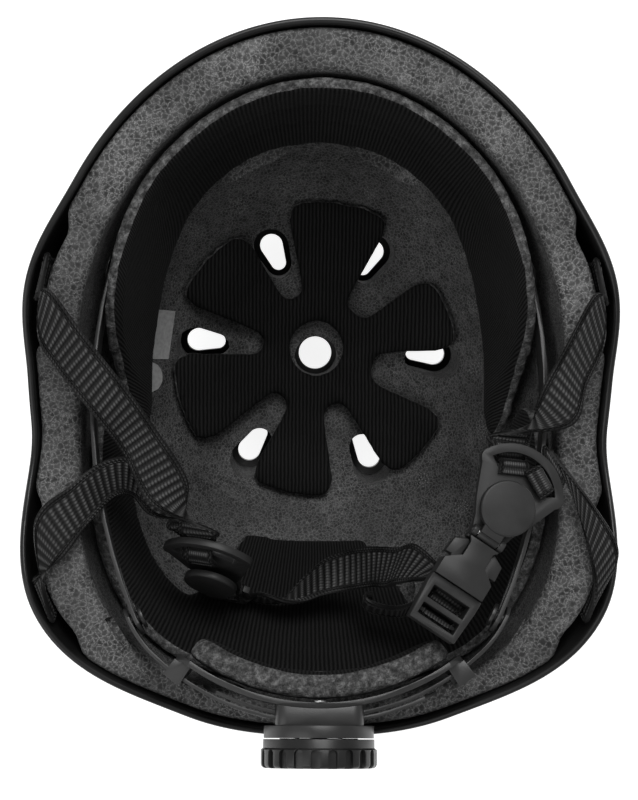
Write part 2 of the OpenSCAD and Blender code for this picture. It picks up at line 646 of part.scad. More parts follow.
// The dial's casing, with a curved channel for the racks and a bearing for the pinion
function rounded_box(w, h, r) = [for (q = [[1, 1, 0], [-1, 1, 90], [-1, -1, 180], [1, -1, 270]])
    each arc_points([q[0] * (w / 2 - r), q[1] * (h / 2 - r)], r, q[2], q[2] + 90, 5)];
module dial_housing() {
    color("#26272a") fit_band() difference() {
        along_dial(frame_in) linear_extrude(cover_v - frame_in) polygon(rounded_box(housing_w, housing_h, 4));
        cylinder(r = frame_out + 0.05, h = 60, center = true, $fn = 96);
        strip(channel_in, channel_out + 2, band_h + 0.8, -20, 20);
        along_dial(frame_out - 1) cylinder(r = 1.9 + run_gap, h = 6, $fn = 32);
        for (side = [-1, 1]) translate([0, 0, side * screw_z])
            along_dial(frame_in) cylinder(r = screw_r + 0.1, h = 12, $fn = 32);
    }
}
module dial_cover() {
    color("#26272a") fit_band() difference() {
        union() {
            along_dial(cover_v) cylinder(r = dial_d / 2 - 1, h = cover_t);
            for (side = [-1, 1]) translate([side * 7.6, 0, 0])
                along_dial(cover_v + cover_t - 1) cylinder(r = 0.7, h = 2.2, $fn = 24);
        }
        along_dial(cover_v - 1) cylinder(r = journal_r + run_gap, h = cover_t + 2);
        for (side = [-1, 1]) translate([0, 0, side * screw_z])
            along_dial(cover_v - 1) cylinder(r = screw_r + 0.03, h = cover_t - 0.2, $fn = 32);
    }
}
module housing_screws() {
    reach = cover_v + cover_t - 1.5 - frame_in;
    color("#8c8e92") fit_band() for (side = [-1, 1]) translate([0, 0, side * screw_z]) {
        along_dial(frame_in - 0.7) cylinder(r = 2.3, h = 0.65, $fn = 32);
        along_dial(frame_in - 0.2) cylinder(r = screw_r, h = reach, $fn = 32);
    }
}

// Involute outline of a gear in the plane
function involute_turn(r, base) = let (a = acos(min(1, base / r))) tan(a) * 180 / PI - a;
function gear_points(teeth, pitch, tip, root, slack) =
    let (base = pitch * cos(pressure),
         half = 90 / teeth - slack / pitch * 180 / PI / 2 + involute_turn(pitch, base),
         radii = [for (m = [0:4]) mix(max(base, root), tip, m / 4)])
    [for (k = [0:teeth - 1]) let (mid = k * 360 / teeth - 90) each concat(
        [[root, mid - half]], [for (r = radii) [r, mid - half + involute_turn(r, base)]],
        [for (m = [4:-1:0]) [radii[m], mid + half - involute_turn(radii[m], base)]], [[root, mid + half]])];
module pinion_shaft() {
    color("#4a4c50") fit_band() {
        along_dial(frame_out + 0.1) cylinder(r = 1.9, h = channel_in - frame_out, $fn = 32);
        along_dial(channel_in + 0.05) linear_extrude(cover_v - channel_in - 0.04)
            polygon([for (p = gear_points(pinion_teeth, pitch_r, pinion_tip_r, pinion_root_r, backlash / 2))
                p[0] * [cos(p[1]), sin(p[1])]]);
        along_dial(cover_v) cylinder(r = journal_r, h = cover_t);
        translate([-socket_half, cover_v + cover_t - 0.3, -socket_half])
            cube([2 * socket_half, dial_w - 1.3, 2 * socket_half]);
    }
}

// Click spring: a ring on two pegs, with two bent leaves whose noses rest in the knob's notches
notches = 24;
notch_in = 13.6;
notch_out = 15;
module click_spring() {
    nose = 4.5;
    color("#b9bbbf") fit_band() along_dial(cover_v + cover_t + 0.1) difference() {
        union() {
            cylinder(r = 9, h = 0.8);
            for (side = [0, 180]) rotate([0, 0, side]) {
                rotate([0, 0, -40]) translate([8, -1.5, 0]) cube([3.2, 3, 0.8]);
                rotate([0, 0, -42]) rotate_extrude(angle = 42) translate([10.2, 0]) square([1, 0.8]);
                translate([10.3, -1, 0]) linear_extrude(0.8)
                    polygon([[0, -1], [nose - 1.3, 0.4], [nose - 0.9, 1], [nose - 1.3, 1.6], [0, 2.2]]);
            }
        }
        translate([0, 0, -1]) cylinder(r = 6, h = 4);
        for (side = [-1, 1]) translate([side * 7.6, 0, -1]) cylinder(r = 0.75, h = 4, $fn = 24);
    }
}

module dial_knob() {
    collar = 3.6;
    round_r = 1.6;
    r = dial_d / 2;
    profile = concat([[0, 0], [r - 0.8, 0], [r - 0.8, collar - 0.6], [r, collar]],
                     arc_points([r - round_r, dial_w - round_r], round_r, 0, 90, 5), [[0, dial_w]]);
    groove_w = PI * dial_d / dial_grooves * 0.5;
    recess = 4;
    color("#141517") fit_band() along_dial(knob_v) difference() {
        rotate_extrude($fn = 96) polygon(profile);
        difference() {
            translate([0, 0, -1]) linear_extrude(recess + 1) polygon([for (k = [0:2 * notches - 1])
                (k % 2 == 0 ? notch_out : notch_in) * [cos(k * 180 / notches), sin(k * 180 / notches)]]);
            cylinder(r = 5.4, h = recess + 2);
        }
        translate([0, 0, dial_w / 2 - 1.2])
            cube([2 * socket_half + 0.1, 2 * socket_half + 0.1, dial_w], center = true);
        for (k = [0:dial_grooves - 1]) rotate([0, 0, k * 360 / dial_grooves]) translate([r + 1.2, 0, 0]) {
            translate([-1.5, 0, dial_w / 2 + collar + 1.4]) cube([3, groove_w, dial_w], center = true);
            translate([0, 0, collar + 1.4]) rotate([0, 90, 0])
                cylinder(d = groove_w, h = 6, center = true, $fn = 24);
        }
    }
}

// Rivets through the shell and the straps' ends
rivet_inner = shell_wall + strap_off + web_t;
module strap_rivets() {
    dome_r = 7;
    head_h = 1.8;
    color("#1d1e20") at_rivets() {
        translate([0, 0, 0.15]) intersection() {
            translate([0, 0, head_h - dome_r]) sphere(r = dome_r);
            cylinder(r = 6, h = head_h);
        }
        translate([0, 0, -rivet_inner - 0.9]) cylinder(d = rivet_d, h = rivet_inner + 1.3, $fn = 32);
    }
}
module rivet_washers() {
    color("#a9abae") at_rivets() translate([0, 0, -rivet_inner - 0.75]) difference() {
        cylinder(r = 4, h = 0.6, $fn = 32);
        translate([0, 0, -1]) cylinder(d = rivet_d + 2 * run_gap, h = 3, $fn = 32);
    }
}

// Outline shared by the strap fans of the buckle and of the divider. +X runs to the tail.
fan_c = -5.4;
fan_r = 19.3;
fan_bar = 3.2;
fan_half_angle = 60;
fan_slot_w = 4.4;
corner_r = 3.5;
function fan_edge(side) =
    let (away = 180 - side * fan_half_angle,
         c = [fan_c, 0] + (fan_r - corner_r) * [cos(away), sin(away)])
    concat(arc_points([fan_c, 0], fan_r, 180, away, 8), arc_points(c, corner_r, away, away - side * 85, 5));
module fan_plate(tail, end_half = 7.2) {
    translate([0, 0, -fan_t / 2]) linear_extrude(fan_t) difference() {
        polygon(concat([for (p = fan_edge(1)) p],
                       [[1, 11], [7, 7.8], [tail - 7, 7.2], [tail - 5, end_half], [tail, end_half],
                        [tail, -end_half], [tail - 5, -end_half], [tail - 7, -7.2], [7, -7.8], [1, -11]],
                       [for (i = [14:-1:1]) fan_edge(-1)[i]]));
        fan_slot();
    }
}
module fan_slot() {
    outer = fan_r - fan_bar;
    half = fan_half_angle - 3;
    polygon(concat([for (p = arc_points([fan_c, 0], outer, 180 - half, 180 + half, 16)) p],
                   [for (p = arc_points([fan_c, 0], outer - fan_slot_w, 180 + half, 180 - half, 16)) p]));
}
hinge_u = cap_r + 2.2;
hinge_n = fan_t / 2 + 2.6;
hinge_r = 1;
cap_n = fan_t / 2 + 2 * web_t + 0.7;
// Hinge ears on the plate, and the cap that turns between them
module cap_ears() {
    for (side = [-1, 1]) translate([hinge_u, side * 5.4, 0]) difference() {
        union() {
            translate([-1.9, -1, fan_t / 2 - 0.5]) cube([3.8, 2, hinge_n - fan_t / 2 + 0.5]);
            translate([0, 1, hinge_n]) rotate([90, 0, 0]) cylinder(r = 1.9, h = 2, $fn = 32);
        }
        translate([0, 2, hinge_n]) rotate([90, 0, 0]) cylinder(r = hinge_r + 0.02, h = 4, $fn = 32);
    }
}
module cap_pin() {
    translate([hinge_u, 6.2, hinge_n]) rotate([90, 0, 0]) cylinder(r = hinge_r, h = 12.4, $fn = 32);
}
module lock_cap() {
    difference() {
        union() {
            translate([0, 0, cap_n]) rotate_extrude() polygon(concat([[0, 0], [cap_r, 0]],
                arc_points([cap_r - 0.8, cap_t - 0.8], 0.8, 0, 90, 4), [[0, cap_t]]));
            translate([cap_r - 3, -4, cap_n]) cube([5.2, 8, cap_t - 0.6]);
            translate([hinge_u, 4, hinge_n]) rotate([90, 0, 0]) cylinder(r = 1.9, h = 8, $fn = 32);
        }
        translate([hinge_u, 5, hinge_n]) rotate([90, 0, 0]) cylinder(r = hinge_r + run_gap, h = 10, $fn = 32);
    }
}

// Places on the helmet follow the shell when it is made wider, longer or taller. Near the rim a
// strap follows the rim under it, and further in it follows the nape.
function on_shell(p) =
    let (at_rim = mix(rim_temple - 143, rim_corner - 150, ramp(p[1], 0, 40)),
         rise = mix(rim_nape - 139, at_rim, ramp(abs(p[0]), 70, 95)))
    [p[0] * shell_half_w / 106, p[1] * shell_half_l / 130, p[2] + rise];
buckle_at = on_shell([-64.5, 42.9, 153]);
buckle_turn = 56.5;
buckle_rise = 17;
module buckle_frame() { helmet() translate(buckle_at) rotate([0, -buckle_rise, buckle_turn]) children(); }
divider_at = on_shell([38.6, 71.8, 117]);
divider_turn = 163;
divider_roll = 59;
divider_spin = -71;
module divider_frame() {
    helmet() translate(divider_at) rotate([divider_roll, 0, divider_turn]) rotate([0, 0, divider_spin]) children();
}

// The divider on the wearer's right, with a bar for the chin strap
tail_slot = 3.6;
divider_tail = 22;
module divider() {
    color("#1b1c1e") divider_frame() {
        difference() {
            fan_plate(divider_tail, web_w / 2 + 2.7);
            translate([divider_tail - 3.4 - tail_slot, -web_w / 2 - 0.5, -5]) cube([tail_slot, web_w + 1, 10]);
        }
        cap_ears();
    }
}
module divider_cap() { color("#1b1c1e") divider_frame() lock_cap(); }
module divider_cap_pin() { color("#77797d") divider_frame() cap_pin(); }

// The buckle's two halves. Both are drawn along +X from the locking cap.
mouth_u = 32.3;
window_u = 24;
socket_u = 15;
prong_gap = 0.35;
body_wall = 1.5;
module buckle_female() {
    color("#1f2022") buckle_frame() {
        difference() {
            union() {
                fan_plate(16, 6.4);
                translate([0, 0, -buckle_t / 2]) linear_extrude(buckle_t) polygon([
                    [9, 6.4], [9, -6.4], [14, -6.4], [16.5, -4.6], [window_u - 2, -4.6], [window_u, -7.4],
                    [window_u + 2, -buckle_half_w], [mouth_u, -buckle_half_w], [mouth_u, buckle_half_w],
                    [window_u + 2, buckle_half_w], [window_u, 7.4], [window_u - 2, 4.6], [16.5, 4.6], [14, 6.4]]);
            }
            translate([socket_u, -buckle_half_w + body_wall, -buckle_t / 2 + body_wall])
                cube([20, 2 * (buckle_half_w - body_wall), buckle_t - 2 * body_wall]);
            translate([9 - cut, -buckle_half_w, fan_t / 2]) cube([5.6, 2 * buckle_half_w, buckle_t]);
        }
        cap_ears();
    }
}
module buckle_cap() { color("#1b1c1e") buckle_frame() lock_cap(); }
module buckle_cap_pin() { color("#77797d") buckle_frame() cap_pin(); }
male_end = 50;
module buckle_male() {
    inner = buckle_half_w - body_wall - prong_gap;
    prong_t = buckle_t - 2 * body_wall - 2 * prong_gap;
    base = mouth_u + prong_gap;
    color("#1f2022") buckle_frame() {
        translate([0, 0, -3.1]) linear_extrude(6.2) difference() {
            polygon([[base, -10.2], [base + 4, -10.2], [male_end, -9.3],
                     [male_end, 9.3], [base + 4, 10.2], [base, 10.2]]);
            translate([base + 3.5, -web_w / 2 + 0.3]) square([5, web_w - 0.6]);
            translate([base + 10.5, -web_w / 2 + 0.3]) square([4.4, web_w - 0.6]);
        }
        for (side = [-1, 1]) scale([1, side, 1]) translate([0, 0, -prong_t / 2]) linear_extrude(prong_t)
            polygon([[base + 0.5, inner - 3], [base + 0.5, inner], [window_u - 0.4, inner],
                     [window_u - 0.4, 10.4], [window_u - 6, 10], [socket_u + 1.5, 7],
                     [socket_u + 0.8, 5.6], [socket_u + 1.2, 4.6], [socket_u + 3, 4.6]]);
        translate([socket_u + 4, -1.2, -prong_t / 2]) cube([base - socket_u - 3.5, 2.4, prong_t]);
    }
}

// Webbing. A fan stop is given in the fan's own frame and turned into the helmet's.
function turn_z(p, a) = [p[0] * cos(a) - p[1] * sin(a), p[0] * sin(a) + p[1] * cos(a), p[2]];
function turn_y(p, a) = [p[0] * cos(a) + p[2] * sin(a), p[1], -p[0] * sin(a) + p[2] * cos(a)];
function turn_x(p, a) = [p[0], p[1] * cos(a) - p[2] * sin(a), p[1] * sin(a) + p[2] * cos(a)];
function from_buckle(p) = turn_z(turn_y(p, -buckle_rise), buckle_turn);
function from_divider(p) = turn_z(turn_x(turn_z(p, divider_spin), divider_roll), divider_turn);
// Route of one webbing end through a fan's slot, from inside the cap outwards, as
// [radius, height, half width]. Layer 1 lies over layer 0 under the cap, and round it in the slot.
// Past the fan the webbing drops by the dip.
function fan_route(layer, dip) =
    let (n = fan_t / 2 + 0.15 + web_t / 2 + layer * (web_t + 0.15), r = 12.8 + 1.6 * layer,
         under = -fan_t / 2 - web_t / 2 - 0.35 - (1 - layer) * (web_t + 0.15))
    [[8, n, 5.8], [r - 1.8, n + 0.05, 5.5], [r - 0.4, n - 0.7 - layer, 5.2], [r, 0, 5.1], [r, -1.8, 5.2],
     [r + 1.7, under, 6], [18.5, under - dip / 3, 6.8], [22.5, under - dip, 7.3]];
function fan_stops(layer, angle, dip) = [for (p = fan_route(layer, dip))
    let (across = [sin(angle), cos(angle), 0])
    [[fan_c - p[0] * cos(angle), p[0] * sin(angle), p[1]], across * p[2]]];
// Route of one webbing end from its rivet up over the liner's edge, along the shell's own slope
function pocket_stops(spot) =
    let (t = spot[0], z = rivet_z(spot), off = shell_wall + strap_off + web_t / 2)
    [for (h = [-6, 0, 6, spot[1] - 0.5]) let (n = shell_normal(t, z + h))
        [shell_at(t, z + h) - n * off, unit(cross(n, [0, 0, -1])) * web_w / 2]];
function flip(stops) = [for (i = [len(stops) - 1:-1:0]) [stops[i][0], -stops[i][1]]];

// A strap's hole at its rivet
module rivet_hole(spot) {
    rivet_frame(spot) translate([0, 0, -rivet_inner - 3]) cylinder(d = rivet_d + 0.5, h = rivet_inner, $fn = 24);
}
module webbing_left() {
    color("#222326") helmet() {
        difference() {
            ribbon(concat(pocket_stops(rivet_spots[1]),
                [for (s = [[[-98, -26, 148], [-2, 7.5, 1]], [[-90, -8, 148], [-4, 6.5, 1]],
                           [[-83, 8, 147], [-5.5, 5.5, 1]]]) [on_shell(s[0]), s[1]]],
                [for (s = flip(fan_stops(0, -28, 0))) [buckle_at + from_buckle(s[0]), from_buckle(s[1])]]));
            rivet_hole(rivet_spots[1]);
        }
        difference() {
            ribbon(concat(pocket_stops(rivet_spots[3]),
                [for (s = [[[-101, 60, 153.5], [-4, -6.5, 0]]]) [on_shell(s[0]), s[1]]],
                [for (s = flip(fan_stops(1, 28, 0.5))) [buckle_at + from_buckle(s[0]), from_buckle(s[1])]]));
            rivet_hole(rivet_spots[3]);
        }
    }
}
module webbing_right() {
    color("#222326") helmet() {
        difference() {
            ribbon(concat(pocket_stops(rivet_spots[0]),
                [for (s = [[[98, -26, 148], [-2, -7.5, -1]], [[89, -12, 147.5], [-5, -6, 0]],
                           [[75, 6, 146], [-5, -6, 0]], [[65, 20.5, 142], [-6, -4.5, 1]],
                           [[54, 40, 140], [-6.5, -4, -1]]]) [on_shell(s[0]), s[1]]],
                [for (s = flip(fan_stops(1, -6, 1))) [divider_at + from_divider(s[0]), from_divider(s[1])]]));
            rivet_hole(rivet_spots[0]);
        }
        difference() {
            ribbon(concat(pocket_stops(rivet_spots[2]),
                [for (s = [[[96, 55, 153.5], [5, -6, 0]], [[85, 42, 152], [3, -7, 1]],
                           [[75, 34, 144], [1, -7, 2]], [[66, 35, 136.5], [-2, -7, 2]],
                           [[55, 44, 134.5], [-6, -5, 0]]]) [on_shell(s[0]), s[1]]],
                [for (s = flip(fan_stops(0, -22, 1))) [divider_at + from_divider(s[0]), from_divider(s[1])]]));
            rivet_hole(rivet_spots[2]);
        }
    }
}
// The chin strap's way round behind the head's place, from the divider to the buckle
chin_route = [[[31.5, 86.5, 96], [-5.5, 1, 5.5]], [[26, 86.4, 96.7], [-3, -2, 7]],
              [[20, 87, 99.7], [0, -3, 7]], [[12, 87, 102], [0, -1, 7.5]],
              [[5, 83, 102], [0, 3, 7]], [[-3, 77.5, 104], [0, 6, 5]],
              [[-12, 74, 108], [0, 7.5, 2]], [[-20, 71, 116], [0, 7.7, 0]],
              [[-27, 69, 127], [2, 7.5, 0]], [[-33, 66, 138], [4, 6.5, 1]]];
module chin_strap() {
    bar_u = divider_tail - 1.7;
    over = fan_t / 2 + web_t / 2 + 0.3;
    loop = [[[bar_u + 3, -over], 1], [[bar_u - 1, -over], 1], [[bar_u - 3.2, -1.2], 1], [[bar_u - 3.2, 1.2], 1],
            [[bar_u - 1, over], 1], [[bar_u + 3, over + 0.2], 1]];
    start = [for (s = loop) [divider_at + from_divider([s[0][0], 0, s[0][1]]), from_divider([0, web_w / 2, 0])]];
    color("#222326") helmet() ribbon(concat(start,
        [for (s = chin_route) [on_shell(s[0]), unit(s[1]) * web_w / 2]],
        [for (p = [[33, -6.8], [40, -5.9], [44, -4.6], [45.3, -2], [45.4, 1]])
            [buckle_at + from_buckle([p[0], 0, p[1]]), from_buckle([0, -web_w / 2 + 0.6, 0])]]));
}

outer_shell();
foam_liner();
crown_pad();
brow_pad();
rear_pad();
pad_hook_dots();
anchor_sockets();
temple_plugs();
arm_left();
arm_right();
rack_left();
rack_right();
cradle_frame();
cradle_pad();
cradle_hook_dots();
dial_housing();
dial_cover();
housing_screws();
pinion_shaft();
click_spring();
dial_knob();
strap_rivets();
rivet_washers();
webbing_left();
webbing_right();
divider();
divider_cap();
divider_cap_pin();
chin_strap();
buckle_female();
buckle_cap();
buckle_cap_pin();
buckle_male();
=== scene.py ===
import bpy, bmesh, json, random
from math import *
from mathutils import Matrix, Vector

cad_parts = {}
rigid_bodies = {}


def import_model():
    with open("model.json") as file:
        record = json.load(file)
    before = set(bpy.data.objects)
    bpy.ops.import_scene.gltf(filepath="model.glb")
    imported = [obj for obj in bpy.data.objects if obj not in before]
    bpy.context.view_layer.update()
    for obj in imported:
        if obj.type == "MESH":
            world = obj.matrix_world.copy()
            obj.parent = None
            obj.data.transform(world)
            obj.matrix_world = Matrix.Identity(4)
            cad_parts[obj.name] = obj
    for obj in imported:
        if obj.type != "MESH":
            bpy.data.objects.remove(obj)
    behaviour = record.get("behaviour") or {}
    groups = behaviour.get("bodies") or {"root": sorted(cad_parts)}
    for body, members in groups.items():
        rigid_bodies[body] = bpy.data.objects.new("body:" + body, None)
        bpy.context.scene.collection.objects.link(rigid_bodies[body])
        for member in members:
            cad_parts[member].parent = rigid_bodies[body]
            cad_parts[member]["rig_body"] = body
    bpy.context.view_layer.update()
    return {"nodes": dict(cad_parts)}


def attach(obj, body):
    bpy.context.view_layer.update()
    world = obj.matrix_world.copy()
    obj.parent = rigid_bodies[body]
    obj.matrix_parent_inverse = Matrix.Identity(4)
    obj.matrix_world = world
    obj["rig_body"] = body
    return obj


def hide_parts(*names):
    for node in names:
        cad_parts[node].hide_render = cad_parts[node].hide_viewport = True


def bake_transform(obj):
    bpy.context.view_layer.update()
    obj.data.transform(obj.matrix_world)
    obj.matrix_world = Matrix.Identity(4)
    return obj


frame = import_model()
nodes = frame["nodes"]

# ---------------------------------------------------------------- Camera, light and floor
# The photograph looks straight down into the open helmet from 0.8 m, a little from the brow.
photo_w, photo_h, sensor_mm = 638, 800, 36
eye = Vector((0.01354, -0.07075, 0.796))
tilt, side, roll = radians(6.209), radians(-1.110), radians(0.593)
focal_px = 1842.6
ahead = Vector((sin(side), sin(tilt), -cos(tilt) * cos(side))).normalized()
level = ahead.cross(Vector((0, -1, 0))).normalized()
upright = level.cross(ahead)
cam_right = cos(roll) * level + sin(roll) * upright
cam_up = cos(roll) * upright - sin(roll) * level
bpy.ops.object.camera_add(location=eye)
camera = bpy.context.object
camera.name = "photo_camera"
camera.rotation_euler = Matrix((cam_right, cam_up, -ahead)).transposed().to_euler()
camera.data.lens = focal_px * sensor_mm / photo_h
camera.data.clip_start = 0.01
bpy.context.scene.camera = camera
bpy.context.scene.view_settings.view_transform = "Standard"


def sight(px, py):
    """Direction of the line of sight through a pixel of the photograph."""
    right, down = px - photo_w / 2, py - photo_h / 2
    return (ahead * focal_px + cam_right * right - cam_up * down).normalized()


def area_light(name, place, target, size, power):
    bpy.ops.object.light_add(type="AREA", location=place)
    lamp = bpy.context.object
    lamp.name = name
    lamp.data.energy = power
    lamp.data.size = size
    lamp.rotation_euler = (Vector(target) - Vector(place)).to_track_quat("-Z", "Y").to_euler()


area_light("key_light", (-0.15, -0.95, 1.15), (0, 0.02, 0.08), 0.8, 11)
area_light("fill_light", (0.75, 0.45, 1.1), (0, 0, 0.1), 1.2, 5)
world = bpy.data.worlds.new("studio")
bpy.context.scene.world = world
world.use_nodes = True
sky = world.node_tree
sky.nodes["Background"].inputs["Strength"].default_value = 0.4
seen = sky.nodes.new("ShaderNodeBackground")
seen.inputs["Color"].default_value = (1, 1, 1, 1)
ray = sky.nodes.new("ShaderNodeLightPath")
pick = sky.nodes.new("ShaderNodeMixShader")
sky.nodes["Background"].inputs["Color"].default_value = (1, 1, 1, 1)
sky.links.new(ray.outputs["Is Camera Ray"], pick.inputs[0])
sky.links.new(sky.nodes["Background"].outputs[0], pick.inputs[1])
sky.links.new(seen.outputs[0], pick.inputs[2])
sky.links.new(pick.outputs[0], sky.nodes["World Output"].inputs[0])

bpy.ops.mesh.primitive_plane_add(size=6, location=(0, 0, -0.0005))
floor = bpy.context.object
floor.name = "floor"


def new_material(name, colour, roughness):
    """A principled material, its node tree and its shader."""
    m = bpy.data.materials.new(name)
    m.use_nodes = True
    shader = m.node_tree.nodes["Principled BSDF"]
    shader.inputs["Base Color"].default_value = (*colour, 1)
    shader.inputs["Roughness"].default_value = roughness
    return m, m.node_tree, shader


def add(tree, kind, fields=None, **inputs):
    """A node with its fields and its unlinked inputs set, or linked where a socket is given."""
    n = tree.nodes.new("ShaderNode" + kind)
    for key, value in (fields or {}).items():
        setattr(n, key, value)
    for key, value in inputs.items():
        by_number = key[0] == "i" and key[1:].isdigit()
        slot = n.inputs[int(key[1:]) if by_number else key.replace("_", " ")]
        if isinstance(value, bpy.types.NodeSocket):
            tree.links.new(value, slot)
        else:
            slot.default_value = value
    return n


def ramp_node(tree, factor, stops):
    """A colour ramp from [place, grey] stops."""
    n = add(tree, "ValToRGB", i0=factor)
    e = n.color_ramp.elements
    e[0].position, e[1].position = stops[0][0], stops[-1][0]
    e[0].color, e[1].color = (*[stops[0][1]] * 3, 1), (*[stops[-1][1]] * 3, 1)
    for place, grey in stops[1:-1]:
        e.new(place).color = (grey, grey, grey, 1)
    return n.outputs["Color"]


# The floor is lit like a pale floor, and rays that see it get enough more to read as white
floor_paint, tree, shader = new_material("floor_paint", (0.6, 0.6, 0.6), 0.9)
shader.inputs["Emission Color"].default_value = (1, 1, 1, 1)
path = add(tree, "LightPath")
seen_by = add(tree, "Math", {"operation": "MAXIMUM"}, i0=path.outputs["Is Camera Ray"],
              i1=path.outputs["Is Glossy Ray"]).outputs[0]
seen_by = add(tree, "Math", {"operation": "MAXIMUM"}, i0=seen_by,
              i1=path.outputs["Is Transmission Ray"]).outputs[0]
glow = add(tree, "Math", {"operation": "MULTIPLY"}, i0=seen_by, i1=0.86).outputs[0]
tree.links.new(glow, shader.inputs["Emission Strength"])
floor.data.materials.append(floor_paint)


# ---------------------------------------------------------------- Outer shell
# Vacuum-formed hard shell, gloss black, with a rounded trimmed edge and teardrop vents cut
# through it. The foam is moulded or bonded into it. Sizes are in millimetres.
def step01(t):
    """Smooth step from 0 to 1."""
    s = min(1, max(0, t))
    return s * s * (3 - 2 * s)


def ease(x, start, end):
    return step01((x - start) / (end - start))


def mix(a, b, t):
    return a + (b - a) * t


def swell(x, at, half):
    """A smooth hump of height 1 round a place."""
    return 0.5 + 0.5 * cos(pi * (x - at) / half) if abs(x - at) < half else 0


def fold(t):
    """Angle from the side, -90 at the brow to 90 at the nape, for an angle round the crown."""
    return degrees(asin(max(-1, min(1, sin(radians(t))))))


rim_brow, rim_temple, rim_ear, rim_corner, rim_nape = 138, 143, 131, 150, 139
centre_y = -4.995
equator = 150
shell_half_w, shell_half_l, shell_nape_power = 106, 130, 2.4
shell_dome_power, shell_dome_root = 2.1, 2.8
flare_temple, flare_corner, flare_depth = 3.5, 11.5, 42


def rim_z(a):
    """Height of the shell's edge."""
    if a < -20:
        return mix(rim_brow, rim_temple, ease(a, -90, -20))
    if a < 12:
        return mix(rim_temple, rim_ear, ease(a, -20, 12))
    if a < 38:
        return mix(rim_ear, rim_corner, ease(a, 12, 38))
    return mix(rim_corner, rim_nape, ease(a, 38, 90))


def oval(a, w, l, power):
    c, s = abs(cos(radians(a))) / w, abs(sin(radians(a))) / l
    return (c ** power + s ** power) ** (-1 / power)


def dome(u, power, root):
    return (1 - (1 - min(1, max(0, u))) ** power) ** (1 / root)


def shell_r(a, z, inset):
    """Radius of the shell at an angle and a height, inset from its outside."""
    plan = oval(a, shell_half_w, shell_half_l, mix(2, shell_nape_power, ease(a, -20, 40)))
    bulge = flare_temple * swell(a, -20, 20) + flare_corner * swell(a, 38.5, 30)
    flare = bulge * ease(z, rim_z(a) - flare_depth, rim_z(a))
    rise = (z - inset) / (equator - inset)
    return (plan - inset) * dome(rise, shell_dome_power, shell_dome_root) + flare


def ring_point(t, r, z):
    return Vector((r * cos(radians(t)), r * sin(radians(t)) + centre_y, z))


def mesh_piece(name, points, faces, materials):
    """A mesh object at the origin from points in millimetres."""
    mesh = bpy.data.meshes.new(name)
    mesh.from_pydata([tuple(p * 0.001) for p in points], [], faces)
    obj = bpy.data.objects.new(name, mesh)
    bpy.context.scene.collection.objects.link(obj)
    for m in materials:
        mesh.materials.append(m)
    mesh.shade_smooth()
    return obj


def select_only(obj):
    bpy.ops.object.select_all(action="DESELECT")
    obj.select_set(True)
    bpy.context.view_layer.objects.active = obj


def face_outwards(obj):
    b = bmesh.new()
    b.from_mesh(obj.data)
    bmesh.ops.recalc_face_normals(b, faces=b.faces)
    b.to_mesh(obj.data)
    b.free()


def turned_skin(name, profile, columns, materials, second=None):
    """A closed skin of columns round the crown's axis; second(j) picks material 1 for a row."""
    rows = [profile(i * 360 / columns) for i in range(columns)]
    n = len(rows[0])
    faces, slots = [], []
    for i in range(columns):
        k = (i + 1) % columns
        for j in range(n):
            m = (j + 1) % n
            faces.append((i * n + j, k * n + j, k * n + m, i * n + m))
            slots.append(1 if second and second(j) else 0)
    obj = mesh_piece(name, [p for row in rows for p in row], faces, materials)
    for f, s in zip(obj.data.polygons, slots):
        f.material_index = s
    face_outwards(obj)
    return obj


def prism(outline, z0, z1):
    """Points and faces of an upright prism over an outline."""
    n = len(outline)
    points = [Vector((p[0], p[1], z)) for z in (z0, z1) for p in outline]
    faces = [tuple(range(n - 1, -1, -1)), tuple(range(n, 2 * n))]
    faces += [(k, (k + 1) % n, n + (k + 1) % n, n + k) for k in range(n)]
    return points, faces


def arc(cx, cy, r, start, end, n):
    angles = [radians(mix(start, end, k / n)) for k in range(n + 1)]
    return [(cx + r * cos(a), cy + r * sin(a)) for a in angles]


vent_ring, vent_turn = 50, -3
vent_directions = (-64.5, -4, 59, 121, 184, 244.5)
vent_wide_r, vent_narrow_r, vent_length, vent_top = 4.8, 3.2, 8, 75
slot_r, slot_half, slot_side, slot_z = 6.5, 5.5, 25, 76
slot_inner, slot_outer = 62, 152


def vent_cutters(grow, crown_r):
    """One mesh of all the vents: six teardrops, the crown hole, and slots at brow and nape."""
    points, faces = [], []

    def take(more):
        base = len(points)
        points.extend(more[0])
        faces.extend(tuple(base + k for k in f) for f in more[1])

    wide, narrow = vent_wide_r + grow, vent_narrow_r + 0.9 * grow
    a = degrees(acos((wide - narrow) / vent_length))
    drop = arc(0, 0, wide, a, 360 - a, 40) + arc(vent_length, 0, narrow, -a, a, 28)
    for t in vent_directions:
        c, s = cos(radians(t + vent_turn)), sin(radians(t + vent_turn))
        outline = [((vent_ring - x) * c + y * s, (vent_ring - x) * s - y * c + centre_y)
                   for x, y in drop]
        take(prism(outline, -1, vent_top))
    take(prism(arc(0, centre_y, crown_r, 0, 356, 89), -5, 50))
    slot = arc(slot_half, 0, slot_r + grow, -90, 90, 20)
    slot += arc(-slot_half, 0, slot_r + grow, 90, 270, 20)
    for way in (-1, 1):
        for flank in (-1, 1):
            flat, sides = prism(slot, slot_inner, slot_outer)
            upright_slot = [Vector((flank * slot_side + p.x, way * p.z + centre_y, slot_z + p.y))
                            for p in flat]
            take((upright_slot, sides))
    obj = mesh_piece("cutter", points, faces, [])
    face_outwards(obj)
    return obj


def cut(obj, cutter):
    m = obj.modifiers.new("cut", "BOOLEAN")
    m.operation, m.solver, m.object = "DIFFERENCE", "EXACT", cutter
    select_only(obj)
    bpy.ops.object.modifier_apply(modifier=m.name)
    bpy.data.objects.remove(cutter)


def smooth_by_angle(obj, angle):
    select_only(obj)
    bpy.ops.object.shade_smooth_by_angle(angle=radians(angle))


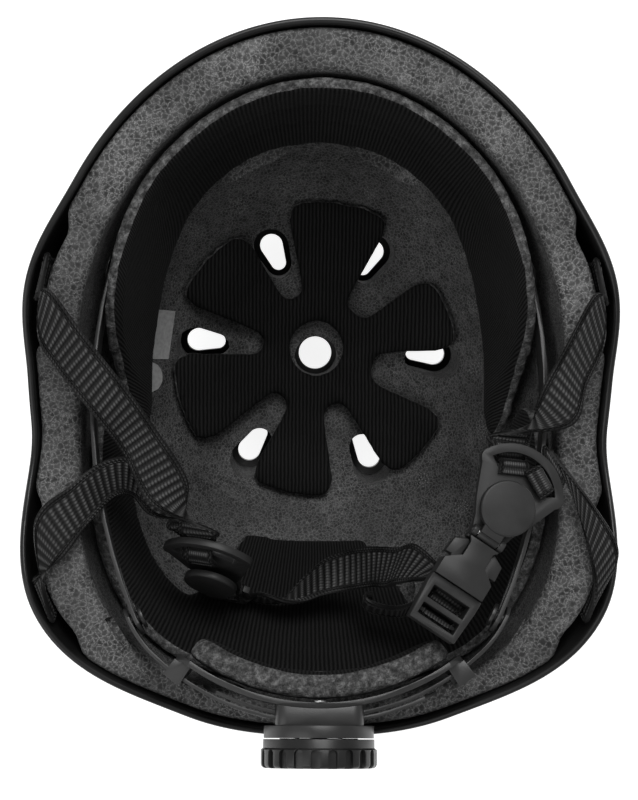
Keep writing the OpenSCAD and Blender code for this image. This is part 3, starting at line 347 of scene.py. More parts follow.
shell_wall, shell_edge = 2.6, 1.25
crown_start = 0.002
skin_columns, skin_rows = 288, 46


def crown_rows(low, high, n):
    return [low + (high - low) * (1 - cos(pi / 2 * (j / n) ** 1.2)) for j in range(1, n + 1)]


def shell_profile(t):
    a = fold(t)
    edge, high = shell_edge, rim_z(a)
    outer_z = [crown_start] + crown_rows(0, high - edge, skin_rows)
    inner_z = [shell_wall + crown_start] + crown_rows(shell_wall, high - edge, skin_rows)
    outer = [ring_point(t, shell_r(a, z, 0), z) for z in outer_z]
    inner = [ring_point(t, shell_r(a, z, shell_wall), z) for z in inner_z]
    r_out, r_in = shell_r(a, high, 0), shell_r(a, high, shell_wall)
    round_edge = [ring_point(t, mix(r_in, r_out, 0.5 + 0.5 * cos(radians(q))),
                             high - edge + edge * sin(radians(q)))
                  for q in (30, 60, 90, 120, 150)]
    return outer + round_edge + inner[::-1]


def bumped(tree, shader, strength, distance, height):
    """Gives a shader the relief of a height, distance in metres."""
    bump = add(tree, "Bump", Strength=strength, Distance=distance, Height=height)
    tree.links.new(bump.outputs[0], shader.inputs["Normal"])


gloss_shell, tree, shader = new_material("shell_gloss", (0.012, 0.012, 0.013), 0.3)
place = add(tree, "TexCoord").outputs["Object"]
mottle = add(tree, "TexNoise", Vector=place, Scale=60.0, Detail=6.0, Roughness=0.6).outputs["Fac"]
scuff = add(tree, "TexNoise", Vector=place, Scale=900.0, Detail=3.0).outputs["Fac"]
tree.links.new(ramp_node(tree, mottle, [[0.3, 0.006], [0.7, 0.013]]), shader.inputs["Base Color"])
tree.links.new(ramp_node(tree, mottle, [[0.3, 0.26], [0.75, 0.42]]), shader.inputs["Roughness"])
bumped(tree, shader, 0.12, 0.0002, scuff)
shader.inputs["Specular IOR Level"].default_value = 0.35
shader.inputs["Coat Weight"].default_value = 0.12
shader.inputs["Coat Roughness"].default_value = 0.15

shell = turned_skin("shell_skin", shell_profile, skin_columns, [gloss_shell])
cut(shell, vent_cutters(0, 7))
smooth_by_angle(shell, 35)
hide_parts("outer_shell")
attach(shell, "helmet")

# ---------------------------------------------------------------- Foam liner
# Moulded EPS in charcoal: on the rim the pressed beads show as cells with pale seams, and in
# the bowl the skin is finer. The steam vents of the mould left round dotted marks.
shell_gap, liner_below_rim, liner_edge = 0.6, 2, 2.4
bowl_z, bowl_root = 27.2, 2.1
bowl_w, bowl_front, bowl_back, bowl_nape_power = 88.8, 111.8, 114.8, 3
pocket_depth, pocket_foot, pocket_full = 4.4, 42, 18


def bowl_plan(a):
    length = mix(bowl_front, bowl_back, ease(a, -30, 30))
    return oval(a, bowl_w, length, mix(2, bowl_nape_power, ease(a, -20, 40)))


def bowl_r(a, z):
    return bowl_plan(a) * dome((z - bowl_z) / (equator - bowl_z), 2, bowl_root)


def pocket(a):
    """1 where the foam is set back behind the straps' ends, 0 elsewhere."""
    return ease(a, -35, -30) * (1 - ease(a, -10, -5)) + ease(a, 20, 25) * (1 - ease(a, 45, 50))


def liner_r(a, z):
    relief = pocket_depth * pocket(a) * ease(z, rim_z(a) - pocket_foot, rim_z(a) - pocket_full)
    return shell_r(a, z, shell_wall + shell_gap) - relief


def liner_profile(t):
    a = fold(t)
    high, soft = rim_z(a) - liner_below_rim, liner_edge
    low = shell_wall + shell_gap
    outer_z = [low + crown_start] + crown_rows(low, high - soft, skin_rows)
    inner_z = [bowl_z + crown_start] + crown_rows(bowl_z, high - soft, skin_rows)
    outer = [ring_point(t, liner_r(a, z), z) for z in outer_z]
    inner = [ring_point(t, bowl_r(a, z), z) for z in inner_z]
    r_out, r_in = liner_r(a, high), bowl_r(a, high)
    corner_out = [ring_point(t, r_out - soft + soft * cos(radians(q)),
                             high - soft + soft * sin(radians(q)))
                  for q in (30, 60, 90)]
    land = [ring_point(t, mix(r_out - soft, r_in + soft, k / 4), high) for k in (1, 2, 3)]
    corner_in = [ring_point(t, r_in + soft - soft * cos(radians(q)),
                            high - soft + soft * sin(radians(q)))
                 for q in (90, 60, 30)]
    return outer + corner_out + land + corner_in + inner[::-1]


def bead_foam(name, cell, greys, seam, lumps):
    """EPS whose beads are cell metres across, with pale seams between them."""
    m, tree, shader = new_material(name, (0.08, 0.08, 0.08), 0.72)
    place = add(tree, "TexCoord").outputs["Object"]
    warp = add(tree, "TexNoise", Vector=place, Scale=0.9 / cell, Detail=3.0).outputs["Color"]
    shifted = add(tree, "MixRGB", {"blend_type": "LINEAR_LIGHT"},
                  i0=cell * 0.45, i1=place, i2=warp).outputs[0]
    edge = add(tree, "TexVoronoi", {"feature": "DISTANCE_TO_EDGE"},
               Vector=shifted, Scale=1 / cell).outputs["Distance"]
    bead = add(tree, "TexVoronoi", Vector=shifted, Scale=1 / cell).outputs["Color"]
    body = add(tree, "RGBToBW", Color=bead).outputs[0]
    tone = add(tree, "TexNoise", Vector=place, Scale=0.33 / cell, Detail=5.0,
               Roughness=0.65).outputs["Fac"]
    grain = add(tree, "TexNoise", Vector=place, Scale=4 / cell, Detail=4.0,
                Roughness=0.7).outputs["Fac"]
    pale = ramp_node(tree, edge, [[0.0, 1.0], [seam, 0.4], [seam * 2.4, 0.0]])
    patchy = add(tree, "MixRGB", {"blend_type": "MULTIPLY"}, i0=1.0, i1=pale,
                 i2=ramp_node(tree, grain, [[0.4, 0.05], [0.6, 1.0]])).outputs[0]
    base = add(tree, "MixRGB", {"blend_type": "MULTIPLY"}, i0=0.55,
               i1=ramp_node(tree, tone, [[0.35, greys[0]], [0.68, greys[1]]]), i2=body).outputs[0]
    fused = add(tree, "MixRGB", i0=patchy, i1=base, i2=(greys[2], greys[2], greys[2], 1)).outputs[0]
    cloud = add(tree, "TexNoise", Vector=place, Scale=32.0, Detail=3.0,
                Roughness=0.6).outputs["Fac"]
    lit = add(tree, "MixRGB", {"blend_type": "MULTIPLY"}, i0=1.0, i1=fused,
              i2=ramp_node(tree, cloud, [[0.35, 0.55], [0.65, 1.0]])).outputs[0]
    tree.links.new(lit, shader.inputs["Base Color"])
    rise = ramp_node(tree, edge, [[0.0, 0.0], [0.3, 1.0]])
    both = add(tree, "MixRGB", {"blend_type": "ADD"}, i0=0.5, i1=rise, i2=grain).outputs[0]
    bumped(tree, shader, lumps, cell * 0.12, both)
    return m


rim_foam = bead_foam("foam_rim", 0.0019, (0.014, 0.12, 0.3), 0.11, 0.6)
bowl_foam = bead_foam("foam_bowl", 0.0014, (0.012, 0.085, 0.22), 0.1, 0.8)
liner = turned_skin("liner_skin", liner_profile, skin_columns, [rim_foam, bowl_foam],
                    lambda j: j > skin_rows + 9)
cut(liner, vent_cutters(2.6, 9))

band_y, band_z, lean = 35.31, 134.7, 16.5
rack_r, rack_centre, relief_half_h = 84.35, 7.9, 7.3


def from_band(p):
    """From the fit band's own frame to the row frame, in millimetres."""
    c, s = cos(radians(lean)), sin(radians(lean))
    return Vector((p[0], p[1] * c - p[2] * s + band_y + centre_y, p[1] * s + p[2] * c + band_z))


def relief_cutter(flank):
    """Room that the mould leaves at the rim's corner for the rack when it is let out."""
    r = rack_r + (2 if flank > 0 else 0)
    line = [(flank * rr * sin(radians(b)), rr * cos(radians(b)) + rack_centre)
            for rr, way in ((r + 1.6, 1), (r - 4, -1)) for b in list(range(25, 63, 3))[::way]]
    points, faces = prism(line, -relief_half_h, relief_half_h)
    obj = mesh_piece("cutter", [from_band(p) for p in points], faces, [])
    face_outwards(obj)
    return obj


for flank in (-1, 1):
    cut(liner, relief_cutter(flank))
smooth_by_angle(liner, 40)
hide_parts("foam_liner")
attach(liner, "helmet")

mark_foam, tree, shader = new_material("foam_mark", (0.3, 0.3, 0.3), 0.6)
place = add(tree, "TexCoord").outputs["Object"]
speck = add(tree, "TexNoise", Vector=place, Scale=1500.0, Detail=3.0).outputs["Fac"]
tree.links.new(ramp_node(tree, speck, [[0.3, 0.09], [0.7, 0.22]]), shader.inputs["Base Color"])


def strike(obj, px, py):
    """Where the line of sight through a pixel meets a piece, and the direction out of it."""
    hit, spot, normal, _ = obj.ray_cast(eye, sight(px, py))
    return (spot * 1000, normal if normal.dot(ahead) < 0 else -normal) if hit else (None, None)


def dome_at(points, faces, spot, normal, r, h):
    """Adds a low six-sided dome to points and faces."""
    x = normal.orthogonal().normalized()
    y = normal.cross(x)
    base = len(points)
    for rr, up in ((r, -0.15), (r * 0.7, h * 0.75)):
        for k in range(6):
            outward = x * cos(radians(k * 60)) + y * sin(radians(k * 60))
            points.append(spot + outward * rr + normal * up)
    points.append(spot + normal * h)
    for k in range(6):
        n = (k + 1) % 6
        faces.append((base + k, base + n, base + 6 + n, base + 6 + k))
        faces.append((base + 6 + k, base + 6 + n, base + 12))


rng = random.Random(7)
points, faces = [], []
steam_marks = [(283, 182), (371, 192), (239, 206), (192, 230), (171, 281), (421, 219),
               (458, 257), (476, 305), (476, 369), (481, 432), (461, 506), (422, 480),
               (483, 427), (414, 549), (213, 160)]
mark_pitch, mark_scatter = 2.55, 0.4
for px, py in steam_marks:
    for ring, count in ((0, 1), (1.25, 6), (2.5, 12)):
        for k in range(count):
            ang = 2 * pi * k / max(1, count) + ring
            dx = ring * mark_pitch * cos(ang) + rng.uniform(-mark_scatter, mark_scatter)
            dy = ring * mark_pitch * sin(ang) + rng.uniform(-mark_scatter, mark_scatter)
            spot, normal = strike(liner, px + dx, py + dy)
            if spot:
                dome_at(points, faces, spot, normal, rng.uniform(0.26, 0.4), rng.uniform(0.1, 0.2))
marks = mesh_piece("steam_marks", points, faces, [mark_foam])
face_outwards(marks)
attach(marks, "helmet")

# ---------------------------------------------------------------- Moulding marks and stickers
# A raised crescent of small beads stands on the wearer's right of the bowl. A blank grey sticker
# and half of a round one are stuck to the foam on the left; their printing is left off.
points, faces = [], []
for k in range(40):
    ang = radians(mix(-115, 65, k / 39))
    spot, normal = strike(liner, 408 + 16 * cos(ang), 392 - 15 * sin(ang))
    dome_at(points, faces, spot, normal, 0.9, 0.35)
crescent = mesh_piece("moulded_crescent", points, faces, [bowl_foam])
face_outwards(crescent)
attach(crescent, "helmet")

sticker_paper, tree, shader = new_material("sticker_paper", (0.2, 0.2, 0.2), 0.55)
place = add(tree, "TexCoord").outputs["Object"]
fibre = add(tree, "TexNoise", Vector=place, Scale=700.0, Detail=5.0).outputs["Fac"]
tree.links.new(ramp_node(tree, fibre, [[0.3, 0.3], [0.7, 0.42]]), shader.inputs["Base Color"])
bumped(tree, shader, 0.2, 0.0001, fibre)


def sticker(name, columns, rows, pixel):
    """A thin sheet laid on the liner along the lines of sight through pixel(u, v)."""
    top, under = [], []
    for i in range(columns + 1):
        for j in range(rows + 1):
            spot, normal = strike(liner, *pixel(i / columns, j / rows))
            top.append(spot + normal * 0.3)
            under.append(spot - normal * 0.1)
    n = rows + 1

    def at(i, j, s):
        return s * (columns + 1) * n + i * n + j

    faces = [(at(i, j, 0), at(i + 1, j, 0), at(i + 1, j + 1, 0), at(i, j + 1, 0))
             for i in range(columns) for j in range(rows)]
    faces += [(at(i, j, 1), at(i, j + 1, 1), at(i + 1, j + 1, 1), at(i + 1, j, 1))
              for i in range(columns) for j in range(rows)]
    rim = ([(i, 0) for i in range(columns)] + [(columns, j) for j in range(rows)]
           + [(i, rows) for i in range(columns, 0, -1)] + [(0, j) for j in range(rows, 0, -1)])
    for k, (i, j) in enumerate(rim):
        i2, j2 = rim[(k + 1) % len(rim)]
        faces.append((at(i, j, 0), at(i, j, 1), at(i2, j2, 1), at(i2, j2, 0)))
    piece = mesh_piece(name, top + under, faces, [sticker_paper])
    face_outwards(piece)
    smooth_by_angle(piece, 40)
    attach(piece, "helmet")
    return piece


sticker("blank_sticker", 6, 14,
        lambda u, v: (mix(152, mix(175, 168, v), u), mix(309 + 2 * u, 359, v)))
sticker("blank_half_disc", 6, 10,
        lambda u, v: (150 + 12 * u * sqrt(1 - (2 * v - 1) ** 2 * 0.98), mix(362, 392, v)))

# ---------------------------------------------------------------- Pads
# Brushed ribbed knit laminated to soft foam and die-cut, so that pale foam shows along every cut
# edge. They are held by hook dots: six petals in the crown, a brow pad, a rear pad and the
# thick pad on the cradle of the fit band.
knit_pitch = 1.5


def pad_fabric(name):
    """Ribbed knit, and cut foam where the piece's own knit attribute runs out."""
    m, tree, shader = new_material(name, (0.02, 0.02, 0.02), 0.88)
    place = add(tree, "TexCoord").outputs["Object"]
    rib = add(tree, "Attribute", {"attribute_name": "rib"}).outputs["Fac"]
    wobble = add(tree, "TexNoise", Vector=place, Scale=260.0, Detail=2.0).outputs["Fac"]
    drift = add(tree, "Math", {"operation": "MULTIPLY_ADD"}, i0=wobble, i1=0.55, i2=rib).outputs[0]
    phase = add(tree, "Math", {"operation": "MULTIPLY"},
                i0=drift, i1=2 * pi / knit_pitch).outputs[0]
    wave = add(tree, "Math", {"operation": "SINE"}, i0=phase).outputs[0]
    lift = add(tree, "Math", {"operation": "MULTIPLY_ADD"}, i0=wave, i1=0.5, i2=0.5).outputs[0]
    loops = add(tree, "TexVoronoi", Vector=place, Scale=1100.0).outputs["Distance"]
    lint = add(tree, "TexNoise", Vector=place, Scale=1900.0, Detail=4.0,
               Roughness=0.8).outputs["Fac"]
    tone = add(tree, "TexNoise", Vector=place, Scale=38.0, Detail=4.0).outputs["Fac"]
    # Painted shade and highlight: the knit's colour follows the ribs' height, four times darker in
    # the valleys than on the tops; the tone noise is the knit's own
    yarn = add(tree, "MixRGB", {"blend_type": "MULTIPLY"}, i0=0.5,
               i1=ramp_node(tree, lift, [[0.1, 0.005], [0.9, 0.02]]),
               i2=ramp_node(tree, tone, [[0.3, 0.55], [0.7, 1.0]])).outputs[0]
    yarn = add(tree, "MixRGB", i0=ramp_node(tree, lint, [[0.66, 0.0], [0.76, 1.0]]), i1=yarn,
               i2=(0.06, 0.06, 0.06, 1)).outputs[0]
    pores = add(tree, "TexVoronoi", Vector=place, Scale=1300.0).outputs["Distance"]
    patch = add(tree, "TexNoise", Vector=place, Scale=420.0, Detail=5.0,
                Roughness=0.7).outputs["Fac"]
    # Painted shade in the pores: the cut foam darkens towards each pore's middle, where its bump
    # dips; the patches of grey are the foam's own
    crumb = add(tree, "MixRGB", {"blend_type": "MULTIPLY"}, i0=0.7,
                i1=ramp_node(tree, patch, [[0.36, 0.03], [0.5, 0.075], [0.66, 0.19]]),
                i2=ramp_node(tree, pores, [[0.0, 0.35], [0.5, 1.0]])).outputs[0]
    reach = add(tree, "Attribute", {"attribute_name": "knit"}).outputs["Fac"]
    knitted = ramp_node(tree, reach, [[0.47, 0.0], [0.53, 1.0]])
    colour = add(tree, "MixRGB", i0=knitted, i1=crumb, i2=yarn).outputs[0]
    tree.links.new(colour, shader.inputs["Base Color"])
    ribbed = add(tree, "MixRGB", {"blend_type": "ADD"}, i0=0.35, i1=lift, i2=loops).outputs[0]
    height = add(tree, "MixRGB", i0=knitted, i1=pores, i2=ribbed).outputs[0]
    bumped(tree, shader, 0.7, 0.0004, height)
    shader.inputs["Specular IOR Level"].default_value = 0.06
    shader.inputs["Sheen Weight"].default_value = 0.02
    shader.inputs["Sheen Roughness"].default_value = 0.5
    return m


fabric = pad_fabric("pad_fabric")


def merged_copy(node, name):
    """A copy of a CAD node as a new object, its triangles joined."""
    obj = bpy.data.objects.new(name, nodes[node].data.copy())
    bpy.context.scene.collection.objects.link(obj)
    obj.data.materials.clear()
    b = bmesh.new()
    b.from_mesh(obj.data)
    bmesh.ops.remove_doubles(b, verts=b.verts, dist=2e-6)
    b.to_mesh(obj.data)
    b.free()
    return obj


def apply_all(obj):
    select_only(obj)
    for m in list(obj.modifiers):
        bpy.ops.object.modifier_apply(modifier=m.name)


pads = {}
for node, cell in (("crown_pad", 1.7), ("brow_pad", 1.7), ("rear_pad", 1.8), ("cradle_pad", 1.8)):
    pad = merged_copy(node, node + "_soft")
    m = pad.modifiers.new("remesh", "REMESH")
    m.mode, m.voxel_size = "VOXEL", cell * 0.001
    m = pad.modifiers.new("ease", "SMOOTH")
    m.factor, m.iterations = 0.5, 3
    apply_all(pad)
    pads[node] = pad

# The cloth is blown up a little over its foam, and puff_cap limits how far it rises
puff_cap, cloth_frames = 0.0007, 20
for pad in pads.values():
    cloth = pad.modifiers.new("cloth", "CLOTH")
    cloth.settings.quality = 4
    cloth.settings.mass = 0.15
    cloth.settings.tension_stiffness = 12
    cloth.settings.bending_stiffness = 0.6
    cloth.settings.use_pressure = True
    cloth.settings.uniform_pressure_force = 4
    cloth.settings.effector_weights.gravity = 0
    cloth.point_cache.frame_start, cloth.point_cache.frame_end = 1, cloth_frames
for f in range(1, cloth_frames + 1):
    bpy.context.scene.frame_set(f)
for pad in pads.values():
    before = [v.co.copy() for v in pad.data.vertices]
    apply_all(pad)
    for v, old in zip(pad.data.vertices, before):
        step = v.co - old
        if step.length > puff_cap:
            v.co = old + step * (puff_cap / step.length)
bpy.context.scene.frame_set(1)


def bowl_height(a, r):
    return bowl_z + (equator - bowl_z) * (1 - sqrt(1 - min(1, r / bowl_plan(a)) ** bowl_root))


def floor_inward(p):
    """Direction away from the bowl's floor at a point in millimetres."""
    x, y = p.x, p.y - centre_y
    h = [bowl_height(fold(degrees(atan2(y + dy, x + dx))), hypot(x + dx, y + dy))
         for dx, dy in ((1, 0), (-1, 0), (0, 1), (0, -1))]
    return Vector((h[1] - h[0], h[3] - h[2], 2)).normalized()


def wall_inward(p):
    """Direction away from the bowl's wall at a point in millimetres."""
    t = degrees(atan2(p.y - centre_y, p.x))
    at = lambda a, z: ring_point(a, bowl_r(fold(a), z), z)
    n = (at(t, p.z + 1) - at(t, p.z - 1)).cross(at(t + 1, p.z) - at(t - 1, p.z)).normalized()
    return n if n.dot(Vector((p.x, p.y, 0))) < 0 else -n


to_band = Matrix.Rotation(radians(-lean), 3, "X")


def in_band(p):
    """From the row frame to the fit band's own frame, in millimetres."""
    return to_band @ (p - Vector((0, band_y + centre_y, band_z)))


def cradle_inward(p):
    """Direction from the cradle towards the head."""
    q = in_band(p)
    return to_band.transposed() @ Vector((-q.x, -q.y, 0)).normalized()


def brow_rib(p):
    """Distance across the knit's ribs, which lean over towards the temples."""
    b = degrees(atan2(p.y - centre_y, p.x)) + 90
    b = (b + 180) % 360 - 180
    return 1.66 * b + 0.75 * (p.z - 110) * ease(abs(b), 30, 60) * (1 if b > 0 else -1)


def rear_rib(p):
    b = degrees(atan2(p.y - centre_y, p.x)) - 90
    return 1.7 * ((b + 180) % 360 - 180)


def cradle_rib(p):
    q = in_band(p)
    return radians(degrees(atan2(q.x, q.y))) * 76


knit_reach = {"crown_pad": 0.1, "brow_pad": 0.5, "rear_pad": 0.5, "cradle_pad": 0.75}
ribs = {"crown_pad": (floor_inward, lambda p: p.x), "brow_pad": (wall_inward, brow_rib),
        "rear_pad": (wall_inward, rear_rib), "cradle_pad": (cradle_inward, cradle_rib)}
for node, pad in pads.items():
    m = pad.modifiers.new("fine", "SUBSURF")
    m.levels = m.render_levels = 1
    apply_all(pad)
    inward, rib = ribs[node]
    pad.data.materials.append(fabric)
    wale = pad.data.attributes.new("rib", "FLOAT", "POINT")
    wale.data.foreach_set("value", [rib(v.co * 1000) for v in pad.data.vertices])
    facing = [v.normal.dot(inward(v.co * 1000)) - knit_reach[node] + 0.5 for v in pad.data.vertices]
    for _ in range(6):
        total, count = facing[:], [1] * len(facing)
        for e in pad.data.edges:
            i, j = e.vertices
            total[i] += facing[j]
            total[j] += facing[i]
            count[i] += 1
            count[j] += 1
        facing = [t / c for t, c in zip(total, count)]
    pad.data.attributes.new("knit", "FLOAT", "POINT").data.foreach_set("value", facing)
    pad.data.shade_smooth()
    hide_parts(node)
    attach(pad, nodes[node]["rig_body"])

# ---------------------------------------------------------------- Moulded fittings
# Injection-moulded nylon: the anchors in the foam, the side arms, the racks, the cradle frame and
# the dial's housing. Edges are softened as a mould leaves them.


def moulded_plastic(name, grey, roughness, spread, gloss=0.5):
    """Plastic of one grey with the faint clouds and sparkle of a mould's surface."""
    m, tree, shader = new_material(name, (grey, grey, grey), roughness)
    place = add(tree, "TexCoord").outputs["Object"]
    shader.inputs["Specular IOR Level"].default_value = gloss
    flow = add(tree, "TexNoise", Vector=place, Scale=90.0, Detail=5.0, Roughness=0.6).outputs["Fac"]
    spark = add(tree, "TexNoise", Vector=place, Scale=2600.0, Detail=2.0).outputs["Fac"]
    tinted = ramp_node(tree, flow, [[0.3, grey * 0.8], [0.7, grey * 1.25]])
    sheen = ramp_node(tree, flow, [[0.3, roughness - spread], [0.7, roughness + spread]])
    tree.links.new(tinted, shader.inputs["Base Color"])
    tree.links.new(sheen, shader.inputs["Roughness"])
    bumped(tree, shader, 0.25, 0.00008, spark)
    return m


def fitted(node, material, bevel=0.25, angle=32):
    """A CAD node carried over as a finished piece with softened edges."""
    obj = merged_copy(node, node + "_finish")
    obj.data.materials.append(material)
    b = bmesh.new()
    b.from_mesh(obj.data)
    bmesh.ops.dissolve_limit(b, angle_limit=radians(0.5), verts=b.verts, edges=b.edges)
    b.to_mesh(obj.data)
    b.free()
    if bevel:
        m = obj.modifiers.new("edges", "BEVEL")
        m.width, m.segments = bevel * 0.001, 2
        m.limit_method, m.angle_limit = "ANGLE", radians(angle)
        m.use_clamp_overlap = True
        apply_all(obj)
    smooth_by_angle(obj, 38)
    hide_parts(node)
    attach(obj, nodes[node]["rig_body"])
    return obj


nylon = moulded_plastic("nylon_dark", 0.018, 0.38, 0.08, 0.6)
for node in ("anchor_sockets", "temple_plugs", "arm_left", "arm_right", "rack_left", "rack_right",
             "cradle_frame", "dial_housing", "dial_cover", "pinion_shaft"):
    fitted(node, nylon, 0.2)

hook_tape, tree, shader = new_material("hook_tape", (0.03, 0.03, 0.03), 0.8)
place = add(tree, "TexCoord").outputs["Object"]
stubble = add(tree, "TexVoronoi", Vector=place, Scale=1400.0).outputs["Distance"]
tree.links.new(ramp_node(tree, stubble, [[0.0, 0.05], [0.6, 0.012]]), shader.inputs["Base Color"])
bumped(tree, shader, 1.0, 0.0004, stubble)
for node in ("pad_hook_dots", "cradle_hook_dots"):
    fitted(node, hook_tape, 0.1)

# ---------------------------------------------------------------- Dial knob and metal parts
# The knob is black nylon with finger grooves. Screws, pins, washers and the click spring are
# plain steel, and the rivets' heads are black plastic.
knob_black = moulded_plastic("knob_black", 0.01, 0.36, 0.06)
fitted("dial_knob", knob_black, 0.35)
fitted("strap_rivets", knob_black, 0.15)
steel, tree, shader = new_material("plain_steel", (0.5, 0.5, 0.51), 0.35)
shader.inputs["Metallic"].default_value = 1
place = add(tree, "TexCoord").outputs["Object"]
drawn = add(tree, "TexNoise", Vector=place, Scale=800.0, Detail=4.0).outputs["Fac"]
tree.links.new(ramp_node(tree, drawn, [[0.3, 0.25], [0.7, 0.48]]), shader.inputs["Roughness"])
tree.links.new(ramp_node(tree, drawn, [[0.3, 0.4], [0.7, 0.56]]), shader.inputs["Base Color"])
for node in ("housing_screws", "click_spring", "rivet_washers", "divider_cap_pin",
             "buckle_cap_pin"):
    fitted(node, steel, 0.08)

# ---------------------------------------------------------------- Divider, buckle and caps
# Dark grey satin acetal. Each fan holds two straps under a round locking cap that hinges on a
# pin, and the chin strap runs from the divider's bar to the buckle's male half.
acetal = moulded_plastic("acetal_grey", 0.024, 0.42, 0.06, 0.35)
for node in ("divider", "buckle_female", "buckle_male"):
    fitted(node, acetal, 0.35)
for node in ("divider_cap", "buckle_cap"):
    fitted(node, acetal, 0.2)

# ---------------------------------------------------------------- Webbing
# Flat woven nylon, 15.5 mm wide and 1.5 mm thick, ribbed across its middle, with two rows of
# chain stitch along each edge. Each strap is riveted in its pocket and runs to a fan.
web_w, web_t, rib_pitch = 15.5, 1.5, 2.9
fan_t, fan_c = 2.6, -5.4
strap_off = 2.2


def turned(p, turns):
    """A vector after turns in degrees about the named axes, in their order."""
    q = Vector(p)
    for axis, a in turns:
        q = Matrix.Rotation(radians(a), 3, axis) @ q
    return q


buckle_at, buckle_turns = Vector((-64.5, 42.9, 153)), (("Y", -17), ("Z", 56.5))
divider_at, divider_turns = Vector((38.6, 71.8, 117)), (("Z", -71), ("X", 59), ("Z", 163))


def shell_point(t, z):
    r = shell_r(fold(t), z, 0)
    return Vector((r * cos(radians(t)), r * sin(radians(t)), z))


def pocket_stops(t, depth):
    """Stops from a rivet up over the liner's edge, along the shell's own slope."""
    z = rim_z(fold(t)) - depth
    stops = []
    for h in (-6, 0, 6, depth - 0.5):
        n = (shell_point(t + 1, z + h) - shell_point(t - 1, z + h)).cross(
            shell_point(t, z + h + 1) - shell_point(t, z + h - 1)).normalized()
        across = n.cross(Vector((0, 0, -1))).normalized() * (web_w / 2)
        stops.append((shell_point(t, z + h) - n * (shell_wall + strap_off + web_t / 2), across))
    return stops


def fan_stops(layer, angle, dip, at, turns):
    """Stops of one end through a fan's slot, from the strap's side up to under the cap."""
    n = fan_t / 2 + 0.15 + web_t / 2 + layer * (web_t + 0.15)
    r = 12.8 + 1.6 * layer
    under = -fan_t / 2 - web_t / 2 - 0.35 - (1 - layer) * (web_t + 0.15)
    route = [[8, n, 5.8], [r - 1.8, n + 0.05, 5.5], [r - 0.4, n - 0.7 - layer, 5.2],
             [r, 0, 5.1], [r, -1.8, 5.2], [r + 1.7, under, 6],
             [18.5, under - dip / 3, 6.8], [22.5, under - dip, 7.3]]
    c, s = cos(radians(angle)), sin(radians(angle))
    return [(at + turned((fan_c - out * c, out * s, up), turns),
             turned((-s * half, -c * half, 0), turns))
            for out, up, half in reversed(route)]


def spline_point(a, b, c, d, t):
    """A point on the smooth line from b to c, with a and d beyond them."""
    bend = 2 * a - 5 * b + 4 * c - d
    twist = 3 * b - a - 3 * c + d
    return 0.5 * (2 * b + (c - a) * t + bend * t * t + twist * t ** 3)


def strap_path(stops, step):
    """Even steps along the smooth line through the stops, each as centre, half width, distance."""
    n = len(stops) - 1
    fine = []
    for i in range(n):
        quad = [stops[max(i - 1, 0)], stops[i], stops[i + 1], stops[min(i + 2, n)]]
        for k in range(24):
            fine.append([spline_point(*[q[m] for q in quad], k / 24) for m in (0, 1)])
    fine.append([stops[n][0].copy(), stops[n][1].copy()])
    out, run, left = [], 0.0, 0.0
    for a, b in zip(fine, fine[1:]):
        length = (b[0] - a[0]).length
        while left <= length:
            t = left / length
            out.append((a[0].lerp(b[0], t), a[1].lerp(b[1], t), run + left))
            left += step
        run += length
        left -= length
    return out


half_columns = [0.35, 0.7, 0.745, 0.79, 0.835, 0.9, 0.965, 1]
weave_columns = [-w for w in reversed(half_columns)] + [0] + half_columns
ribbed_part, stitch_rows = 0.72, (0.79, 0.9)
rib_height, groove_height, hem_height = 0.2, -0.16, -0.3


def weave_height(w, s):
    """Height of the weave over the strap's body in millimetres, across at w and along at s."""
    turn = 2 * pi * s / rib_pitch
    if abs(w) < ribbed_part:
        return rib_height * cos(turn)
    if abs(w) in stitch_rows:
        return rib_height * (1 + cos(2 * turn + (pi if abs(w) == stitch_rows[1] else 0)))
    return groove_height if abs(w) < 1 else hem_height


thread_w = 0.157


def webbing_piece(name, stops, material):
    """A woven strap along its stops, with the values that its material needs at each point."""
    path = strap_path(stops, rib_pitch / 10)
    ring, points, along, across, crest = 2 * len(weave_columns), [], [], [], []
    for i, (c, half, s) in enumerate(path):
        ahead_c, back_c = path[min(i + 1, len(path) - 1)][0], path[max(i - 1, 0)][0]
        n = half.cross(ahead_c - back_c).normalized()
        for side in (1, -1):
            for w in weave_columns[::side]:
                weave = weave_height(w, s if side > 0 else s + rib_pitch / 2)
                points.append(c + half * w + n * side * (web_t / 2 - 0.08 + weave))
                # crest is the weave's height, which the webbing's material paints as highlight on
                # the tops and shade in the grooves
                crest.append(min(1, max(0, weave / 0.4 + (0.5 if abs(w) < ribbed_part else 0))))
                along.append(s)
                across.append(w if abs(w) < ribbed_part else 0.25 * thread_w)
    faces = []
    for i in range(len(path) - 1):
        for j in range(ring):
            k = (j + 1) % ring
            faces.append((i * ring + j, i * ring + k, (i + 1) * ring + k, (i + 1) * ring + j))
    last = (len(path) - 1) * ring
    m = len(weave_columns)
    for base in (0, last):
        for j in range(m - 1):
            faces.append((base + j, base + j + 1, base + ring - 2 - j, base + ring - 1 - j))
    shifted = [p + Vector((0, centre_y, 0)) for p in points]
    piece = mesh_piece(name, shifted, faces, [material])
    for key, values in (("along", along), ("across", across), ("crest", crest)):
        piece.data.attributes.new(key, "FLOAT", "POINT").data.foreach_set("value", values)
    face_outwards(piece)
    smooth_by_angle(piece, 60)
    return piece


